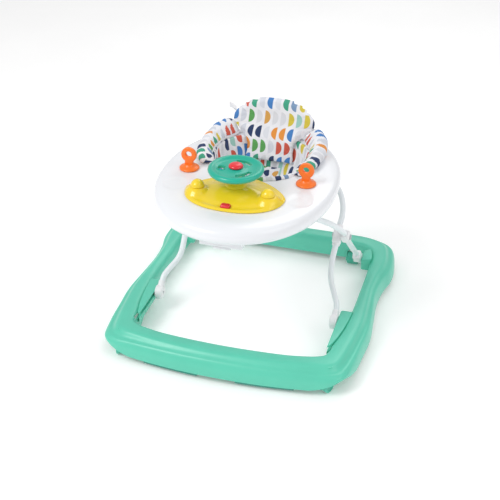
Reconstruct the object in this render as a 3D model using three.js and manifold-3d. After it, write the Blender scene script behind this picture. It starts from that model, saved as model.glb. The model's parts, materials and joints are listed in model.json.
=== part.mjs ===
// Baby walker: a moulded ring base on wheels, a folding scissor frame of bent tubes,
// an oval tray with a toy station, and a fabric seat hung in the tray.
// Millimetres, +Z up. The walker drives towards -Y. The origin is on the floor under its middle.
// "left" is -X and "right" is +X, as seen by someone who faces the front of the walker.

import * as THREE from 'three';
import { mergeVertices } from 'three/addons/utils/BufferGeometryUtils.js';
import Module from 'manifold-3d';

const wasm = await Module();
wasm.setup();

// ---- Driving dimensions ----------------------------------------------------------------

const GAP = 0.3; // left between pieces that meet
const WALL = 3; // wall of the large mouldings

// Scissor frame: all four pivots of a side view, and where the tubes lie across the walker
const LOW_Z = 57; // rear pivot and front foot
const HIGH_Z = 351; // both crossbars under the tray
const REAR_Y = 205;
const FRONT_Y = -90;
const CROSS_Y = (REAR_Y + FRONT_Y) / 2;
const CROSS_Z = (LOW_Z + HIGH_Z) / 2;
const REACH = REAR_Y - FRONT_Y;
const RISE = HIGH_Z - LOW_Z;
const LEG = Math.hypot(REACH, RISE);
const TUBE_R = 7;
const TUBE_BORE_R = 5.8;
const TUBE_HOLE_R = TUBE_R + GAP; // hole that a tube runs through
const FRONT_LEG_X = 190; // both tubes where they cross
const REAR_LEG_X = 210.5;
const PIVOT_X = 217.5; // the rear leg's lower end
const FOOT_X = 220.5;
const PIN_R = 4;
const PIN_HOLE_R = PIN_R + GAP;
// Half of each U above the crossing, as [x, distance along the leg from its lower pivot]
const FRONT_LEG_BENDS = [
  [188.5, 150], [190, 185], [190, 232], [192, 258], [188.5, 284], [180, 308], [164, 331],
  [130, 363], [104, 387], [84, 405], [66, LEG], [57, LEG], [20, LEG],
];
const REAR_LEG_BENDS = [
  [217.5, 14], [217.5, 42], [214, 95], [211, 150], [210.5, 182], [210.5, 235], [205, 262],
  [196, 287], [183, 311], [164, 330], [138, 349], [108, 373], [82, 396], [58, 412], [38, LEG],
];

// Base ring
const EDGE_Z = 15; // lower edge of the skirt
const CREST_Z = 65.5;
// Outlines from the middle of the front to the middle of the back:
// [inner x, y, outer x, y, scoop above the foot's track, arch over the caster]
const RAIL = [
  [0, -256, 0, -326.5, 0, 0],
  [75, -254, 80, -324.5, 0, 0],
  [145, -249, 155, -318, 0, 0],
  [190, -241, 215, -309.5, 0, 0],
  [216, -233, 258, -301, 0.1, 0.6],
  [230, -221, 287, -280, 0.5, 1],
  [234, -190, 301, -222, 0.9, 0.25],
  [244, -135, 306, -150, 1, 0],
  [249, -80, 309.5, -88, 0.6, 0],
  [251, -12, 304, -20, 0, 0],
  [251, 60, 296.5, 60, 0, 0],
  [251, 125, 300, 125, 0, 0],
  [250, 180, 311, 180, 0, 0],
  [246, 222, 309.5, 236, 0, 0],
  [230, 250, 293, 297, 0, 0],
  [195, 262, 243, 323, 0, 0],
  [130, 264, 160, 326.5, 0, 0],
  [65, 264, 80, 326.5, 0, 0],
  [0, 264, 0, 326.5, 0, 0],
];
const ARCH_LIFT = 23; // how far the skirt rises over a caster

// What the legs' lower ends run in
const TRACK = { inner: 229.4, front: -206, back: -52, top: 65, slotBack: 238.5, slotHalf: 5.4 };
const BRACKET = { inner: 228, bottom: 32, top: 68 };

// Wheels
const CASTER = { x: 250, y: -266, trail: 13, turn: 18, wheelR: 18, wheelW: 9, hood: 7, stemR: 4 };
const REAR_WHEEL = { x: 194, y: 264, r: 17, width: 28, axleR: 3 };

// Tray
const TRAY_TOP = 402;
const RIM_R = 20;
const RIM = { x: 0, y: -58.5, halfX: 206, halfY: 264, power: 2.1 };
const OPENING = { x: 0, y: 36, halfX: 118, halfY: 117, power: 2.3 };
const CHANNEL = { halfX: 48, front: -272, rear: -76, bottom: 328, step: 371, wall: 3 };
const LATCH = { y: -234, z: 334, pinR: 2.5, holeR: 2.8 };
const RECESS = { x: 145, y: -150, r: 26, depth: 1 }; // a place for a cup or a toy

// Toys
const STATION = { x: 0, y: -160, halfX: 114, front: 84, back: 75 };
const WHEEL = { y: -155, z: 462, r: 62 };
const DOME = { x: 80, y: -182 };
const LOOP = { x: 138, y: -72, discR: 23, ringR: 18, holeR: 7, holeZ: 440, thick: 9 };

// Seat
const BACK = { halfX: 108.5, bottom: 404, top: 492, foot: 150, head: 182, thick: 14 };
const SKIRT = { bottom: 332, top: 404, thick: 6 };
const CROTCH_Z = 240.5;

// ---- Helpers ---------------------------------------------------------------------------

const sideName = { [-1]: 'left', [1]: 'right' };
const SIDES = [-1, 1];

/** Turns a closed geometry into a solid that can be joined and cut. */
function toSolid(geometry) {
  const bare = geometry.clone();
  bare.deleteAttribute('normal');
  bare.deleteAttribute('uv');
  const merged = mergeVertices(bare, 1e-4);
  const mesh = new wasm.Mesh({
    numProp: 3,
    vertProperties: new Float32Array(merged.attributes.position.array),
    triVerts: new Uint32Array(merged.index.array),
  });
  return new wasm.Manifold(mesh);
}

function toGeometry(solid) {
  const mesh = solid.getMesh();
  const geometry = new THREE.BufferGeometry();
  geometry.setAttribute('position', new THREE.BufferAttribute(mesh.vertProperties, 3));
  geometry.setIndex(new THREE.BufferAttribute(mesh.triVerts, 1));
  geometry.computeVertexNormals();
  return geometry;
}

function join(...pieces) {
  return toGeometry(pieces.map(toSolid).reduce((sum, piece) => sum.add(piece)));
}

function cut(body, ...tools) {
  return toGeometry(tools.map(toSolid).reduce((rest, tool) => rest.subtract(tool), toSolid(body)));
}

function box(x0, x1, y0, y1, z0, z1) {
  const geometry = new THREE.BoxGeometry(x1 - x0, y1 - y0, z1 - z0);
  return geometry.translate((x0 + x1) / 2, (y0 + y1) / 2, (z0 + z1) / 2);
}

/** A box on one side of the walker, between two distances from its middle. */
function sideBox(side, near, far, y0, y1, z0, z1) {
  return box(Math.min(side * near, side * far), Math.max(side * near, side * far), y0, y1, z0, z1);
}

/** A cylinder along X between two places. */
function rodX(x0, x1, y, z, r, sides = 12) {
  const geometry = new THREE.CylinderGeometry(r, r, Math.abs(x1 - x0), sides);
  return geometry.rotateZ(Math.PI / 2).translate((x0 + x1) / 2, y, z);
}

/** A cylinder along Z between two heights. */
function rodZ(x, y, z0, z1, r, sides = 20) {
  const geometry = new THREE.CylinderGeometry(r, r, z1 - z0, sides);
  return geometry.rotateX(Math.PI / 2).translate(x, y, (z0 + z1) / 2);
}

/** A turned piece: [radius, height] pairs from axis to axis, standing on +Z. */
function turned(profile, sides = 20) {
  const points = profile.map(([r, z]) => new THREE.Vector2(r, z));
  return new THREE.LatheGeometry(points, sides).rotateX(Math.PI / 2);
}

/** A flat outline given as [y, z] pairs, with an optional round hole, drawn out along X. */
function plateX(outline, x0, x1, holes = []) {
  const shape = new THREE.Shape(outline.map(([y, z]) => new THREE.Vector2(y, z)));
  for (const hole of holes) {
    shape.holes.push(new THREE.Path(hole.map(([y, z]) => new THREE.Vector2(y, z))));
  }
  const geometry = new THREE.ExtrudeGeometry(shape, { depth: Math.abs(x1 - x0), bevelEnabled: false });
  // Shape x becomes Y, shape y becomes Z and the depth becomes X.
  const turn = new THREE.Matrix4().makeBasis(
    new THREE.Vector3(0, 1, 0),
    new THREE.Vector3(0, 0, 1),
    new THREE.Vector3(1, 0, 0),
  );
  return geometry.applyMatrix4(turn).translate(Math.min(x0, x1), 0, 0);
}

/** A flat outline given as [x, y] pairs, drawn up from z0 to z1. */
function plateZ(outline, z0, z1, holes = []) {
  const shape = new THREE.Shape(outline.map(([x, y]) => new THREE.Vector2(x, y)));
  for (const hole of holes) {
    shape.holes.push(new THREE.Path(hole.map(([x, y]) => new THREE.Vector2(x, y))));
  }
  return new THREE.ExtrudeGeometry(shape, { depth: z1 - z0, bevelEnabled: false }).translate(0, 0, z0);
}

function circlePoints(cx, cy, r, count = 12) {
  const points = [];
  for (let i = 0; i < count; i += 1) {
    const angle = (2 * Math.PI * i) / count;
    points.push([cx + r * Math.cos(angle), cy + r * Math.sin(angle)]);
  }
  return points;
}

/** Turns every face outwards, judged by the signed volume. */
function facingOut(geometry) {
  const { array } = geometry.attributes.position;
  const index = geometry.index.array;
  const corner = (i) => new THREE.Vector3().fromArray(array, 3 * i);
  let volume = 0;
  for (let i = 0; i < index.length; i += 3) {
    volume += corner(index[i]).dot(corner(index[i + 1]).cross(corner(index[i + 2])));
  }
  if (volume < 0) {
    for (let i = 0; i < index.length; i += 3) {
      [index[i], index[i + 1]] = [index[i + 1], index[i]];
    }
  }
  geometry.computeVertexNormals();
  return geometry;
}

/** Skins a row of equal closed sections. The row closes on itself, or is capped at both ends. */
function loft(sections, closed = false) {
  const size = sections[0].length;
  const rows = sections.length;
  const positions = sections.flat().flatMap((p) => [p.x, p.y, p.z]);
  const index = [];
  for (let i = 0; i < (closed ? rows : rows - 1); i += 1) {
    const next = (i + 1) % rows;
    for (let j = 0; j < size; j += 1) {
      const k = (j + 1) % size;
      index.push(i * size + j, i * size + k, next * size + k);
      index.push(i * size + j, next * size + k, next * size + j);
    }
  }
  if (!closed) {
    for (const [row, flip] of [[0, true], [rows - 1, false]]) {
      const centre = sections[row].reduce((sum, p) => sum.add(p), new THREE.Vector3()).divideScalar(size);
      const hub = positions.length / 3;
      positions.push(centre.x, centre.y, centre.z);
      for (let j = 0; j < size; j += 1) {
        const a = row * size + j;
        const b = row * size + ((j + 1) % size);
        index.push(hub, flip ? b : a, flip ? a : b);
      }
    }
  }
  const geometry = new THREE.BufferGeometry();
  geometry.setAttribute('position', new THREE.Float32BufferAttribute(positions, 3));
  geometry.setIndex(index);
  return facingOut(geometry);
}

/** A curve that an extrusion follows point by point, with no even spacing in between. */
class BentTube extends THREE.CatmullRomCurve3 {
  getPointAt(u, target) {
    return this.getPoint(u, target);
  }

  getTangentAt(u, target) {
    return this.getTangent(u, target);
  }
}

function tubeAlong(points, r, boreR) {
  const section = new THREE.Shape();
  section.absarc(0, 0, r, 0, 2 * Math.PI);
  if (boreR) {
    const bore = new THREE.Path();
    bore.absarc(0, 0, boreR, 0, 2 * Math.PI, true);
    section.holes.push(bore);
  }
  const extrudePath = new BentTube(points, false, 'centripetal');
  return new THREE.ExtrudeGeometry(section, { steps: points.length - 1, curveSegments: 5, extrudePath });
}

/** A point of an oval whose sides bulge by its power, at an angle from +X. */
function ovalPoint(oval, angle, inset = 0) {
  const bulge = (value) => Math.sign(value) * Math.abs(value) ** (2 / oval.power);
  const x = oval.x + (oval.halfX - inset) * bulge(Math.cos(angle));
  const y = oval.y + (oval.halfY - inset) * bulge(Math.sin(angle));
  return new THREE.Vector2(x, y);
}

const walker = new THREE.Group();
walker.name = 'baby_walker';

const FINISH = {
  green: { color: 0x66cdb5, roughness: 0.42, metalness: 0 },
  darkGreen: { color: 0x2f8f7c, roughness: 0.6, metalness: 0 },
  rubber: { color: 0x3f6f69, roughness: 0.9, metalness: 0 },
  white: { color: 0xf4f5f8, roughness: 0.35, metalness: 0 },
  tube: { color: 0xe6ecf0, roughness: 0.3, metalness: 0.2 },
  steel: { color: 0xb8bcc0, roughness: 0.3, metalness: 1 },
  teal: { color: 0x23bfa8, roughness: 0.35, metalness: 0 },
  yellow: { color: 0xedd23a, roughness: 0.3, metalness: 0 },
  orange: { color: 0xff7a25, roughness: 0.4, metalness: 0 },
  red: { color: 0xe8333b, roughness: 0.35, metalness: 0 },
  fabric: { color: 0xe9e9ee, roughness: 0.95, metalness: 0 },
  board: { color: 0x2f6b3a, roughness: 0.6, metalness: 0 },
  dark: { color: 0x33363a, roughness: 0.6, metalness: 0.1 },
};

function add(name, geometry, finish) {
  const mesh = new THREE.Mesh(geometry, new THREE.MeshStandardMaterial(FINISH[finish]));
  mesh.name = name;
  walker.add(mesh);
}

// ---- Base ring -------------------------------------------------------------------------

/** The full outline from its right half: [x, y, ...] rows run from front to back. */
function bothHalves(rows) {
  const mirrored = rows.slice(1, -1).reverse().map(([a, b, c, d, ...rest]) => [-a, b, -c, d, ...rest]);
  return [...rows, ...mirrored];
}

const railRows = bothHalves(RAIL);
const innerEdge = new THREE.CatmullRomCurve3(
  railRows.map(([x, y]) => new THREE.Vector3(x, y, 0)), true, 'centripetal');
const outerEdge = new THREE.CatmullRomCurve3(
  railRows.map((row) => new THREE.Vector3(row[2], row[3], 0)), true, 'centripetal');

/** A value of the rail's rows between two of them, at a place from 0 to 1 round the ring. */
function railValue(column, place) {
  const row = place * railRows.length;
  const before = Math.floor(row) % railRows.length;
  const after = (before + 1) % railRows.length;
  return THREE.MathUtils.lerp(railRows[before][column], railRows[after][column], row % 1);
}

/** Section of the ring's wall: [distance from the inner edge, height], for a rail of one width. */
function railSection(width, scoop, arch) {
  const dip = 11 * scoop; // the crest gives way to a scoop above the foot's track
  const edge = EDGE_Z + ARCH_LIFT * arch;
  const lifted = (height) => edge + ((height - EDGE_Z) * (55 - edge)) / (55 - EDGE_Z);
  const outside = [
    [0, EDGE_Z],
    [1.5, 54 - dip],
    [6, 61.5 - dip],
    [14, 64.8 - 0.7 * dip],
    [0.45 * width, CREST_Z],
    [0.7 * width, 62],
    [0.88 * width, 53],
    [width - 1.5, lifted(40)],
    [width, lifted(27)],
    [width, edge],
  ];
  const inside = [
    [width - WALL, edge],
    [width - WALL, lifted(26.5)],
    [width - 4.8, lifted(38.5)],
    [0.88 * width - 2.6, lifted(50.6)],
    [0.68 * width - 0.6, 58.9],
    [0.45 * width, CREST_Z - WALL],
    [15, 61.6 - 0.7 * dip],
    [8, 58.6 - dip],
    [4.6, 53 - dip],
    [WALL, EDGE_Z],
  ];
  return [...outside, ...inside];
}

function baseRing() {
  const stations = 1.5 * railRows.length;
  const sections = [];
  for (let i = 0; i < stations; i += 1) {
    const inner = innerEdge.getPoint(i / stations);
    const outer = outerEdge.getPoint(i / stations);
    const scoop = railValue(4, i / stations);
    const arch = railValue(5, i / stations);
    const across = outer.clone().sub(inner);
    const width = across.length();
    across.normalize();
    const section = railSection(width, scoop, arch).map(([distance, height]) => {
      const point = inner.clone().addScaledVector(across, distance);
      point.z = height;
      return point;
    });
    sections.push(section);
  }
  return loft(sections, true);
}

const AXLE_HOLE_R = REAR_WHEEL.axleR + GAP;
const STEM_HOLE_R = CASTER.stemR + GAP;
const BOSS = { r: 9, bottom: 39, top: 62.5, holeTop: 58 };

function addBase() {
  let shell = baseRing();
  for (const side of SIDES) {
    const boss = rodZ(side * CASTER.x, CASTER.y, BOSS.bottom, BOSS.top, BOSS.r);
    const bore = rodZ(side * CASTER.x, CASTER.y, BOSS.bottom - 1, BOSS.holeTop, STEM_HOLE_R);
    const x0 = side * REAR_WHEEL.x - REAR_WHEEL.width / 2;
    const x1 = side * REAR_WHEEL.x + REAR_WHEEL.width / 2;
    const ribs = [box(x0 - 4, x0 - 1, 254, 290, 10, 36), box(x1 + 1, x1 + 4, 254, 290, 10, 36)];
    const arch = box(x0 - 1, x1 + 1, 240, 284, 8, 38);
    const axleHole = rodX(x0 - 7, x1 + 7, REAR_WHEEL.y, REAR_WHEEL.r, AXLE_HOLE_R, 16);
    const sliderSlot = sideBox(side, TRACK.inner - 4, TRACK.slotBack + 1, TRACK.front - 8, -150,
      LOW_Z - TRACK.slotHalf - 1, LOW_Z + TRACK.slotHalf + 1);
    shell = cut(join(shell, boss, ...ribs), bore, arch, axleHole, sliderSlot);
  }
  add('base_shell', shell, 'green');
}

/** The channel that the front foot's slider runs in, open towards the middle of the walker. */
function addSlideTrack(side) {
  const { inner, front, back, top, slotBack, slotHalf } = TRACK;
  const outline = [[inner, front], [231.4, -190], [235.5, -165], [241.6, -128], [246.6, -84], [247.6, back],
    [inner, back]];
  const body = plateZ(outline.map(([x, y]) => [side * x, y]), 38, top);
  const groove = sideBox(side, inner - 1, slotBack, front - 1, back - 3, LOW_Z - slotHalf, LOW_Z + slotHalf);
  add(`slide_track_${sideName[side]}`, cut(body, groove), 'green');
}

function addPivotBracket(side) {
  const outline = [[BRACKET.inner, 188], [248.2, 188], [246.4, 206], [241.8, 224], [234, 238],
    [BRACKET.inner, 238]];
  const block = plateZ(outline.map(([x, y]) => [side * x, y]), BRACKET.bottom, BRACKET.top);
  const hole = rodX(side * 220, side * 250, REAR_Y, LOW_Z, PIN_HOLE_R);
  add(`pivot_bracket_${sideName[side]}`, cut(block, hole), 'green');
  const pin = join(
    rodX(side * (PIVOT_X - 13), side * 244, REAR_Y, LOW_Z, PIN_R),
    rodX(side * (PIVOT_X - 10.1), side * (PIVOT_X - 13.5), REAR_Y, LOW_Z, 7),
  );
  add(`leg_pivot_pin_${sideName[side]}`, pin, 'steel');
}

/** A rubber strip just inside the skirt, hanging lower than it. */
function addGripStrip(name, side, from, to, yAt, inward) {
  const steps = 4;
  const outer = [];
  const inner = [];
  for (let i = 0; i <= steps; i += 1) {
    const x = from + ((to - from) * i) / steps;
    outer.push([side * x, yAt(x)]);
    inner.push([side * x, yAt(x) + 11 * inward]);
  }
  add(name, plateZ([...outer, ...inner.reverse()], 9.5, 23), 'rubber');
}

const frontInside = (x) => -321.5 + (x * x) / 2450;
const rearInside = () => 322;

// ---- Wheels ----------------------------------------------------------------------------

/** A swivelling hood between two wheels that share an axle. */
function addCaster(side) {
  const turn = THREE.MathUtils.degToRad(CASTER.turn) * side;
  const place = (geometry) => geometry.rotateZ(-turn).translate(side * CASTER.x, CASTER.y, 0);
  const half = CASTER.hood / 2;
  const { trail, wheelR, stemR } = CASTER;
  const hoodOutline = [[6, 26], [6, 37.5], [-6, 37.5], [-trail - 6, 34.5], [-trail - 13, 28], [-trail - 15, 18],
    [-trail - 9, 9.5], [-trail + 5, 9], [-2, 16]];
  const hood = plateX(hoodOutline, -half, half, [circlePoints(-trail, wheelR, 3 + GAP)]);
  const body = join(hood, rodZ(0, 0, 36.6, 38.5, 8), rodZ(0, 0, 36, 57, stemR));
  add(`caster_body_${sideName[side]}`, place(body), 'green');

  const inner = half + 0.6;
  const outer = inner + CASTER.wheelW;
  const wheels = join(
    rodX(-outer + 1, outer - 1, -trail, wheelR, 3),
    ...[-1, 1].map((end) => {
      const disc = turned([[0, 0], [wheelR, 0], [wheelR, CASTER.wheelW - 2], [wheelR - 2, CASTER.wheelW],
        [0, CASTER.wheelW]], 24);
      return disc.rotateY((end * Math.PI) / 2).translate(end * inner, -trail, wheelR);
    }),
  );
  add(`caster_wheels_${sideName[side]}`, place(wheels), 'darkGreen');
}

function addRearWheel(side) {
  const { x, y, r, width, axleR } = REAR_WHEEL;
  const half = width / 2;
  const tyre = rodX(side * x - half, side * x + half, y, r, r, 28);
  const bore = rodX(side * x - half - 1, side * x + half + 1, y, r, axleR + GAP, 12);
  add(`rear_wheel_${sideName[side]}`, cut(tyre, bore), 'darkGreen');
  add(`rear_axle_${sideName[side]}`, rodX(side * x - half - 6, side * x + half + 6, y, r, axleR, 12), 'steel');
}

// ---- Folding frame ---------------------------------------------------------------------

const slope = new THREE.Vector2(REACH, RISE).normalize();

/** A point on a leg, at a distance along it from its lower pivot. */
function onRearLeg(x, along) {
  return new THREE.Vector3(x, REAR_Y - along * slope.x, LOW_Z + along * slope.y);
}

function onFrontLeg(x, along) {
  return new THREE.Vector3(x, FRONT_Y + along * slope.x, LOW_Z + along * slope.y);
}

function wholeFrame(half) {
  const otherHalf = half.map((p) => new THREE.Vector3(-p.x, p.y, p.z)).reverse();
  return [...half, ...otherHalf];
}

const FOOT_DIRECTION = new THREE.Vector3(0, 0.75, 0.66).normalize(); // out of the foot, into the leg
const crossHoles = (r) => SIDES.map((side) => rodX(side * 170, side * 240, CROSS_Y, CROSS_Z, r));

function addRearLeg() {
  const half = REAR_LEG_BENDS.map(([x, along]) => onRearLeg(x, along));
  const tube = tubeAlong(wholeFrame(half), TUBE_R, TUBE_BORE_R);
  add('rear_leg_frame', cut(tube, ...crossHoles(PIN_HOLE_R)), 'tube');
}

function addFrontLeg() {
  const foot = new THREE.Vector3(FOOT_X, FRONT_Y, LOW_Z);
  const half = [
    foot.clone().addScaledVector(FOOT_DIRECTION, 15.5),
    foot.clone().addScaledVector(FOOT_DIRECTION, 28),
    new THREE.Vector3(218, -58, 87),
    new THREE.Vector3(209, -42, 99),
    new THREE.Vector3(197, -20, 113),
    new THREE.Vector3(190, -5, 132),
    ...FRONT_LEG_BENDS.map(([x, along]) => onFrontLeg(x, along)),
  ];
  const tube = tubeAlong(wholeFrame(half), TUBE_R, TUBE_BORE_R);
  add('front_leg_frame', cut(tube, ...crossHoles(PIN_HOLE_R)), 'tube');
}

/** The moulded sleeve round a tube where the two legs cross. */
function crossSleeve(side, x, halfX, halfAcross, halfLong, direction) {
  const section = [[-halfX + 3, -halfAcross], [halfX - 3, -halfAcross], [halfX, -halfAcross + 3],
    [halfX, halfAcross - 3], [halfX - 3, halfAcross], [-halfX + 3, halfAcross],
    [-halfX, halfAcross - 3], [-halfX, -halfAcross + 3]];
  const sleeve = plateZ(section, -halfLong, halfLong, [circlePoints(0, 0, TUBE_HOLE_R)]);
  const tilt = Math.atan2(-direction.y, direction.z);
  sleeve.rotateX(tilt).translate(side * x, CROSS_Y, CROSS_Z);
  return cut(sleeve, rodX(side * 170, side * 240, CROSS_Y, CROSS_Z, PIN_HOLE_R));
}

function addCrossing(side) {
  const up = new THREE.Vector3(0, slope.x, slope.y);
  const back = new THREE.Vector3(0, -slope.x, slope.y);
  const name = sideName[side];
  add(`front_leg_sleeve_${name}`, crossSleeve(side, FRONT_LEG_X, 9.9, 11, 20, up), 'white');
  add(`rear_leg_sleeve_${name}`, crossSleeve(side, REAR_LEG_X, 9.9, 11, 22, back), 'white');
  const pin = join(
    rodX(side * 178, side * 222, CROSS_Y, CROSS_Z, PIN_R),
    rodX(side * 177, side * 179.7, CROSS_Y, CROSS_Z, 7),
    rodX(side * 220.8, side * 223.3, CROSS_Y, CROSS_Z, 7),
  );
  add(`cross_pin_${name}`, pin, 'steel');
}

/** The forked plastic end that joins a rear leg to its bracket. */
function addRearLegEnd(side) {
  const outline = [];
  const along = Math.atan2(RISE, -REACH);
  for (let i = 0; i <= 10; i += 1) {
    const angle = along + Math.PI / 2 + (Math.PI * i) / 10;
    outline.push([REAR_Y + 12.5 * Math.cos(angle), LOW_Z + 12.5 * Math.sin(angle)]);
  }
  const tip = onRearLeg(0, 38);
  for (const turn of [-1, 1]) {
    const angle = along + (turn * Math.PI) / 2;
    outline.push([tip.y + 11 * Math.cos(angle), tip.z + 11 * Math.sin(angle)]);
  }
  const body = plateX(outline, side * (PIVOT_X - 9.7), side * (PIVOT_X + 9.7));
  const bore = new THREE.CylinderGeometry(TUBE_HOLE_R, TUBE_HOLE_R, 40, 16);
  bore.rotateX(along);
  const centre = onRearLeg(side * PIVOT_X, 13 + 20);
  bore.translate(centre.x, centre.y, centre.z);
  const pinHole = rodX(side * 200, side * 230, REAR_Y, LOW_Z, PIN_HOLE_R);
  add(`rear_leg_end_${sideName[side]}`, cut(body, bore, pinHole), 'white');
}

/** The rounded foot of a front leg and the slider that carries it in the track. */
function addFoot(side) {
  const pivot = new THREE.Vector3(side * FOOT_X, FRONT_Y, LOW_Z);
  const turn = Math.atan2(FOOT_DIRECTION.z, FOOT_DIRECTION.y);
  const along = (geometry, distance) => {
    const centre = pivot.clone().addScaledVector(FOOT_DIRECTION, distance);
    return geometry.rotateX(turn).translate(centre.x, centre.y, centre.z);
  };
  const collar = along(new THREE.CylinderGeometry(8.7, 8.7, 26, 20), 13);
  const bore = along(new THREE.CylinderGeometry(TUBE_HOLE_R, TUBE_HOLE_R, 30, 16), 15 + 15);
  const barrel = rodX(side * 210.5, side * 226, FRONT_Y, LOW_Z, 15, 24);
  const flange = rodX(side * 225, side * 228.8, FRONT_Y, LOW_Z, 16, 24);
  const pinHole = rodX(side * 200, side * 240, FRONT_Y, LOW_Z, 3.8);
  const foot = cut(join(barrel, flange, collar), bore, pinHole);
  add(`front_leg_foot_${sideName[side]}`, foot, 'white');

  const slider = join(
    rodX(side * 212.5, side * 232, FRONT_Y, LOW_Z, 3.5),
    sideBox(side, 230.6, 237, FRONT_Y - 7, FRONT_Y + 7, LOW_Z - 5, LOW_Z + 5),
  );
  add(`glide_slider_${sideName[side]}`, slider, 'dark');
}

// ---- Tray ------------------------------------------------------------------------------

function addTray() {
  const stations = 44;
  const sections = [];
  for (let i = 0; i < stations; i += 1) {
    const angle = (2 * Math.PI * i) / stations;
    const rim = ovalPoint(RIM, angle);
    const mouth = ovalPoint(OPENING, angle);
    const width = rim.distanceTo(mouth);
    const inward = mouth.clone().sub(rim).normalize();
    const bottom = TRAY_TOP - 2 * RIM_R + 0.5;
    const profile = [
      [16, bottom], [8, bottom + 2.5], [2, bottom + 10], [0, TRAY_TOP - RIM_R], [2, TRAY_TOP - 10.5],
      [8, TRAY_TOP - 3.5], [20, TRAY_TOP], [width - 8, TRAY_TOP], [width - 2, TRAY_TOP - 2.5],
      [width, TRAY_TOP - 8], [width, 372],
      [width - WALL, 372], [width - WALL, TRAY_TOP - 9.5], [width - 9, TRAY_TOP - WALL],
      [20.5, TRAY_TOP - WALL], [9.5, TRAY_TOP - 6.5], [4.8, TRAY_TOP - 12], [WALL, TRAY_TOP - RIM_R],
      [4.8, bottom + 11.5], [9.5, bottom + 5.5], [16, bottom + WALL],
    ];
    sections.push(profile.map(([distance, z]) => {
      const point = rim.clone().addScaledVector(inward, distance);
      return new THREE.Vector3(point.x, point.y, z);
    }));
  }
  const { x, y, r, depth } = RECESS;
  const recesses = SIDES.map((side) => turned([[0, -depth], [r, -depth], [r + 2, 1], [0, 1]], 28)
    .translate(side * x, y, TRAY_TOP));
  add('tray_shell', cut(loft(sections, true), ...recesses), 'white');
}

/** The housing under the tray that the rear leg's crossbar slides in, open below. */
function addChannel() {
  const { halfX, front, rear, bottom, step, wall } = CHANNEL;
  const roof = TRAY_TOP - WALL - 0.5;
  const mouthY = OPENING.y - OPENING.halfY - 11; // clear of the tray's inner corner
  const outline = [[front, bottom], [rear, bottom], [rear, step], [mouthY, step], [mouthY, roof], [front, roof]];
  const slot = [[-222, HIGH_Z - 9.5], [-79.5, HIGH_Z - 9.5], [-79.5, HIGH_Z + 9.5], [-222, HIGH_Z + 9.5]];
  const body = plateX(outline, -halfX, halfX, [slot]);
  const hollowX = halfX - wall;
  add('tray_channel', cut(
    body,
    box(-hollowX, hollowX, front + wall, mouthY - wall, bottom - 5, roof - wall),
    box(-hollowX, hollowX, front + wall, rear - wall, bottom - 5, step - wall),
    rodX(-halfX - 2, halfX + 2, LATCH.y, LATCH.z, LATCH.holeR, 16),
  ), 'white');
}

function addLatchLever() {
  const paddle = plateX([[-266, 321], [-230, 321], [-229, 338], [-239, 338], [-242, 327], [-266, 327]], -20, 20);
  const trunnion = rodX(-CHANNEL.halfX - 1, CHANNEL.halfX + 1, LATCH.y, LATCH.z, LATCH.pinR, 16);
  add('latch_lever', join(paddle, trunnion), 'white');
}

function addTrayClamp(side) {
  const roof = TRAY_TOP - WALL - 0.5;
  const outline = [[164, 340], [217, 340], [217, 361.2], [175, 361.2], [175, roof], [164, roof]];
  const hole = circlePoints(REAR_Y, HIGH_Z, TUBE_HOLE_R, 20);
  add(`tray_clamp_${sideName[side]}`, plateX(outline, side * 25, side * 55, [hole]), 'white');
}

// ---- Seat ------------------------------------------------------------------------------

/** The upright padded back, leaning away from the child. */
function addSeatBack() {
  const columns = 12;
  const levels = 5;
  const sections = [];
  for (let i = 0; i <= columns; i += 1) {
    const u = -1 + (2 * i) / columns;
    const x = BACK.halfX * u * (1 - 0.03 * u * u);
    const top = BACK.bottom + 22 + (BACK.top - BACK.bottom - 22) * Math.sqrt(Math.max(0, 1 - Math.abs(u) ** 2.6));
    const face = [];
    const rear = [];
    for (let k = 0; k <= levels; k += 1) {
      const z = BACK.bottom + ((top - BACK.bottom) * k) / levels;
      const lean = BACK.foot + ((BACK.head - BACK.foot) * (z - BACK.bottom)) / (BACK.top - BACK.bottom);
      const y = lean - 4 * u * u;
      const half = (BACK.thick / 2) * (k === levels ? 0.45 : 1) * (Math.abs(u) === 1 ? 0.5 : 1);
      face.push(new THREE.Vector3(x, y - half, z));
      rear.push(new THREE.Vector3(x, y + half, z));
    }
    sections.push([...face, ...rear.reverse()]);
  }
  add('seat_back', loft(sections), 'fabric');
}

/** The fabric that lines the opening of the tray. */
function addSeatSkirt() {
  const stations = 32;
  const sections = [];
  for (let i = 0; i < stations; i += 1) {
    const angle = (2 * Math.PI * i) / stations;
    const level = (inset, z) => {
      const point = ovalPoint(OPENING, angle, inset);
      return new THREE.Vector3(point.x, point.y, z);
    };
    sections.push([level(4, SKIRT.top - 1.5), level(4 + SKIRT.thick, SKIRT.top - 1.5),
      level(14 + SKIRT.thick, SKIRT.bottom), level(14, SKIRT.bottom)]);
  }
  add('seat_skirt', loft(sections, true), 'fabric');
}

/** The sling that the child sits on: a strap of fabric from front to back, narrow between the legs. */
function addSeatSling() {
  const spine = new THREE.CatmullRomCurve3([
    new THREE.Vector3(88, -54, SKIRT.bottom - 4),
    new THREE.Vector3(66, -42, 288),
    new THREE.Vector3(46, -12, 252),
    new THREE.Vector3(44, 30, CROTCH_Z),
    new THREE.Vector3(60, 76, 252),
    new THREE.Vector3(84, 108, 288),
    new THREE.Vector3(94, 122, SKIRT.bottom - 4),
  ]);
  const steps = 14;
  const sections = [];
  for (let i = 0; i <= steps; i += 1) {
    const point = spine.getPoint(i / steps);
    const tangent = spine.getTangent(i / steps);
    const out = new THREE.Vector2(tangent.z, -tangent.y).normalize().multiplyScalar(3);
    const corner = (x, sign) => new THREE.Vector3(x, point.y + sign * out.x, point.z + sign * out.y);
    sections.push([corner(-point.x, 1), corner(point.x, 1), corner(point.x, -1), corner(-point.x, -1)]);
  }
  add('seat_sling', loft(sections), 'fabric');
}

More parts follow.
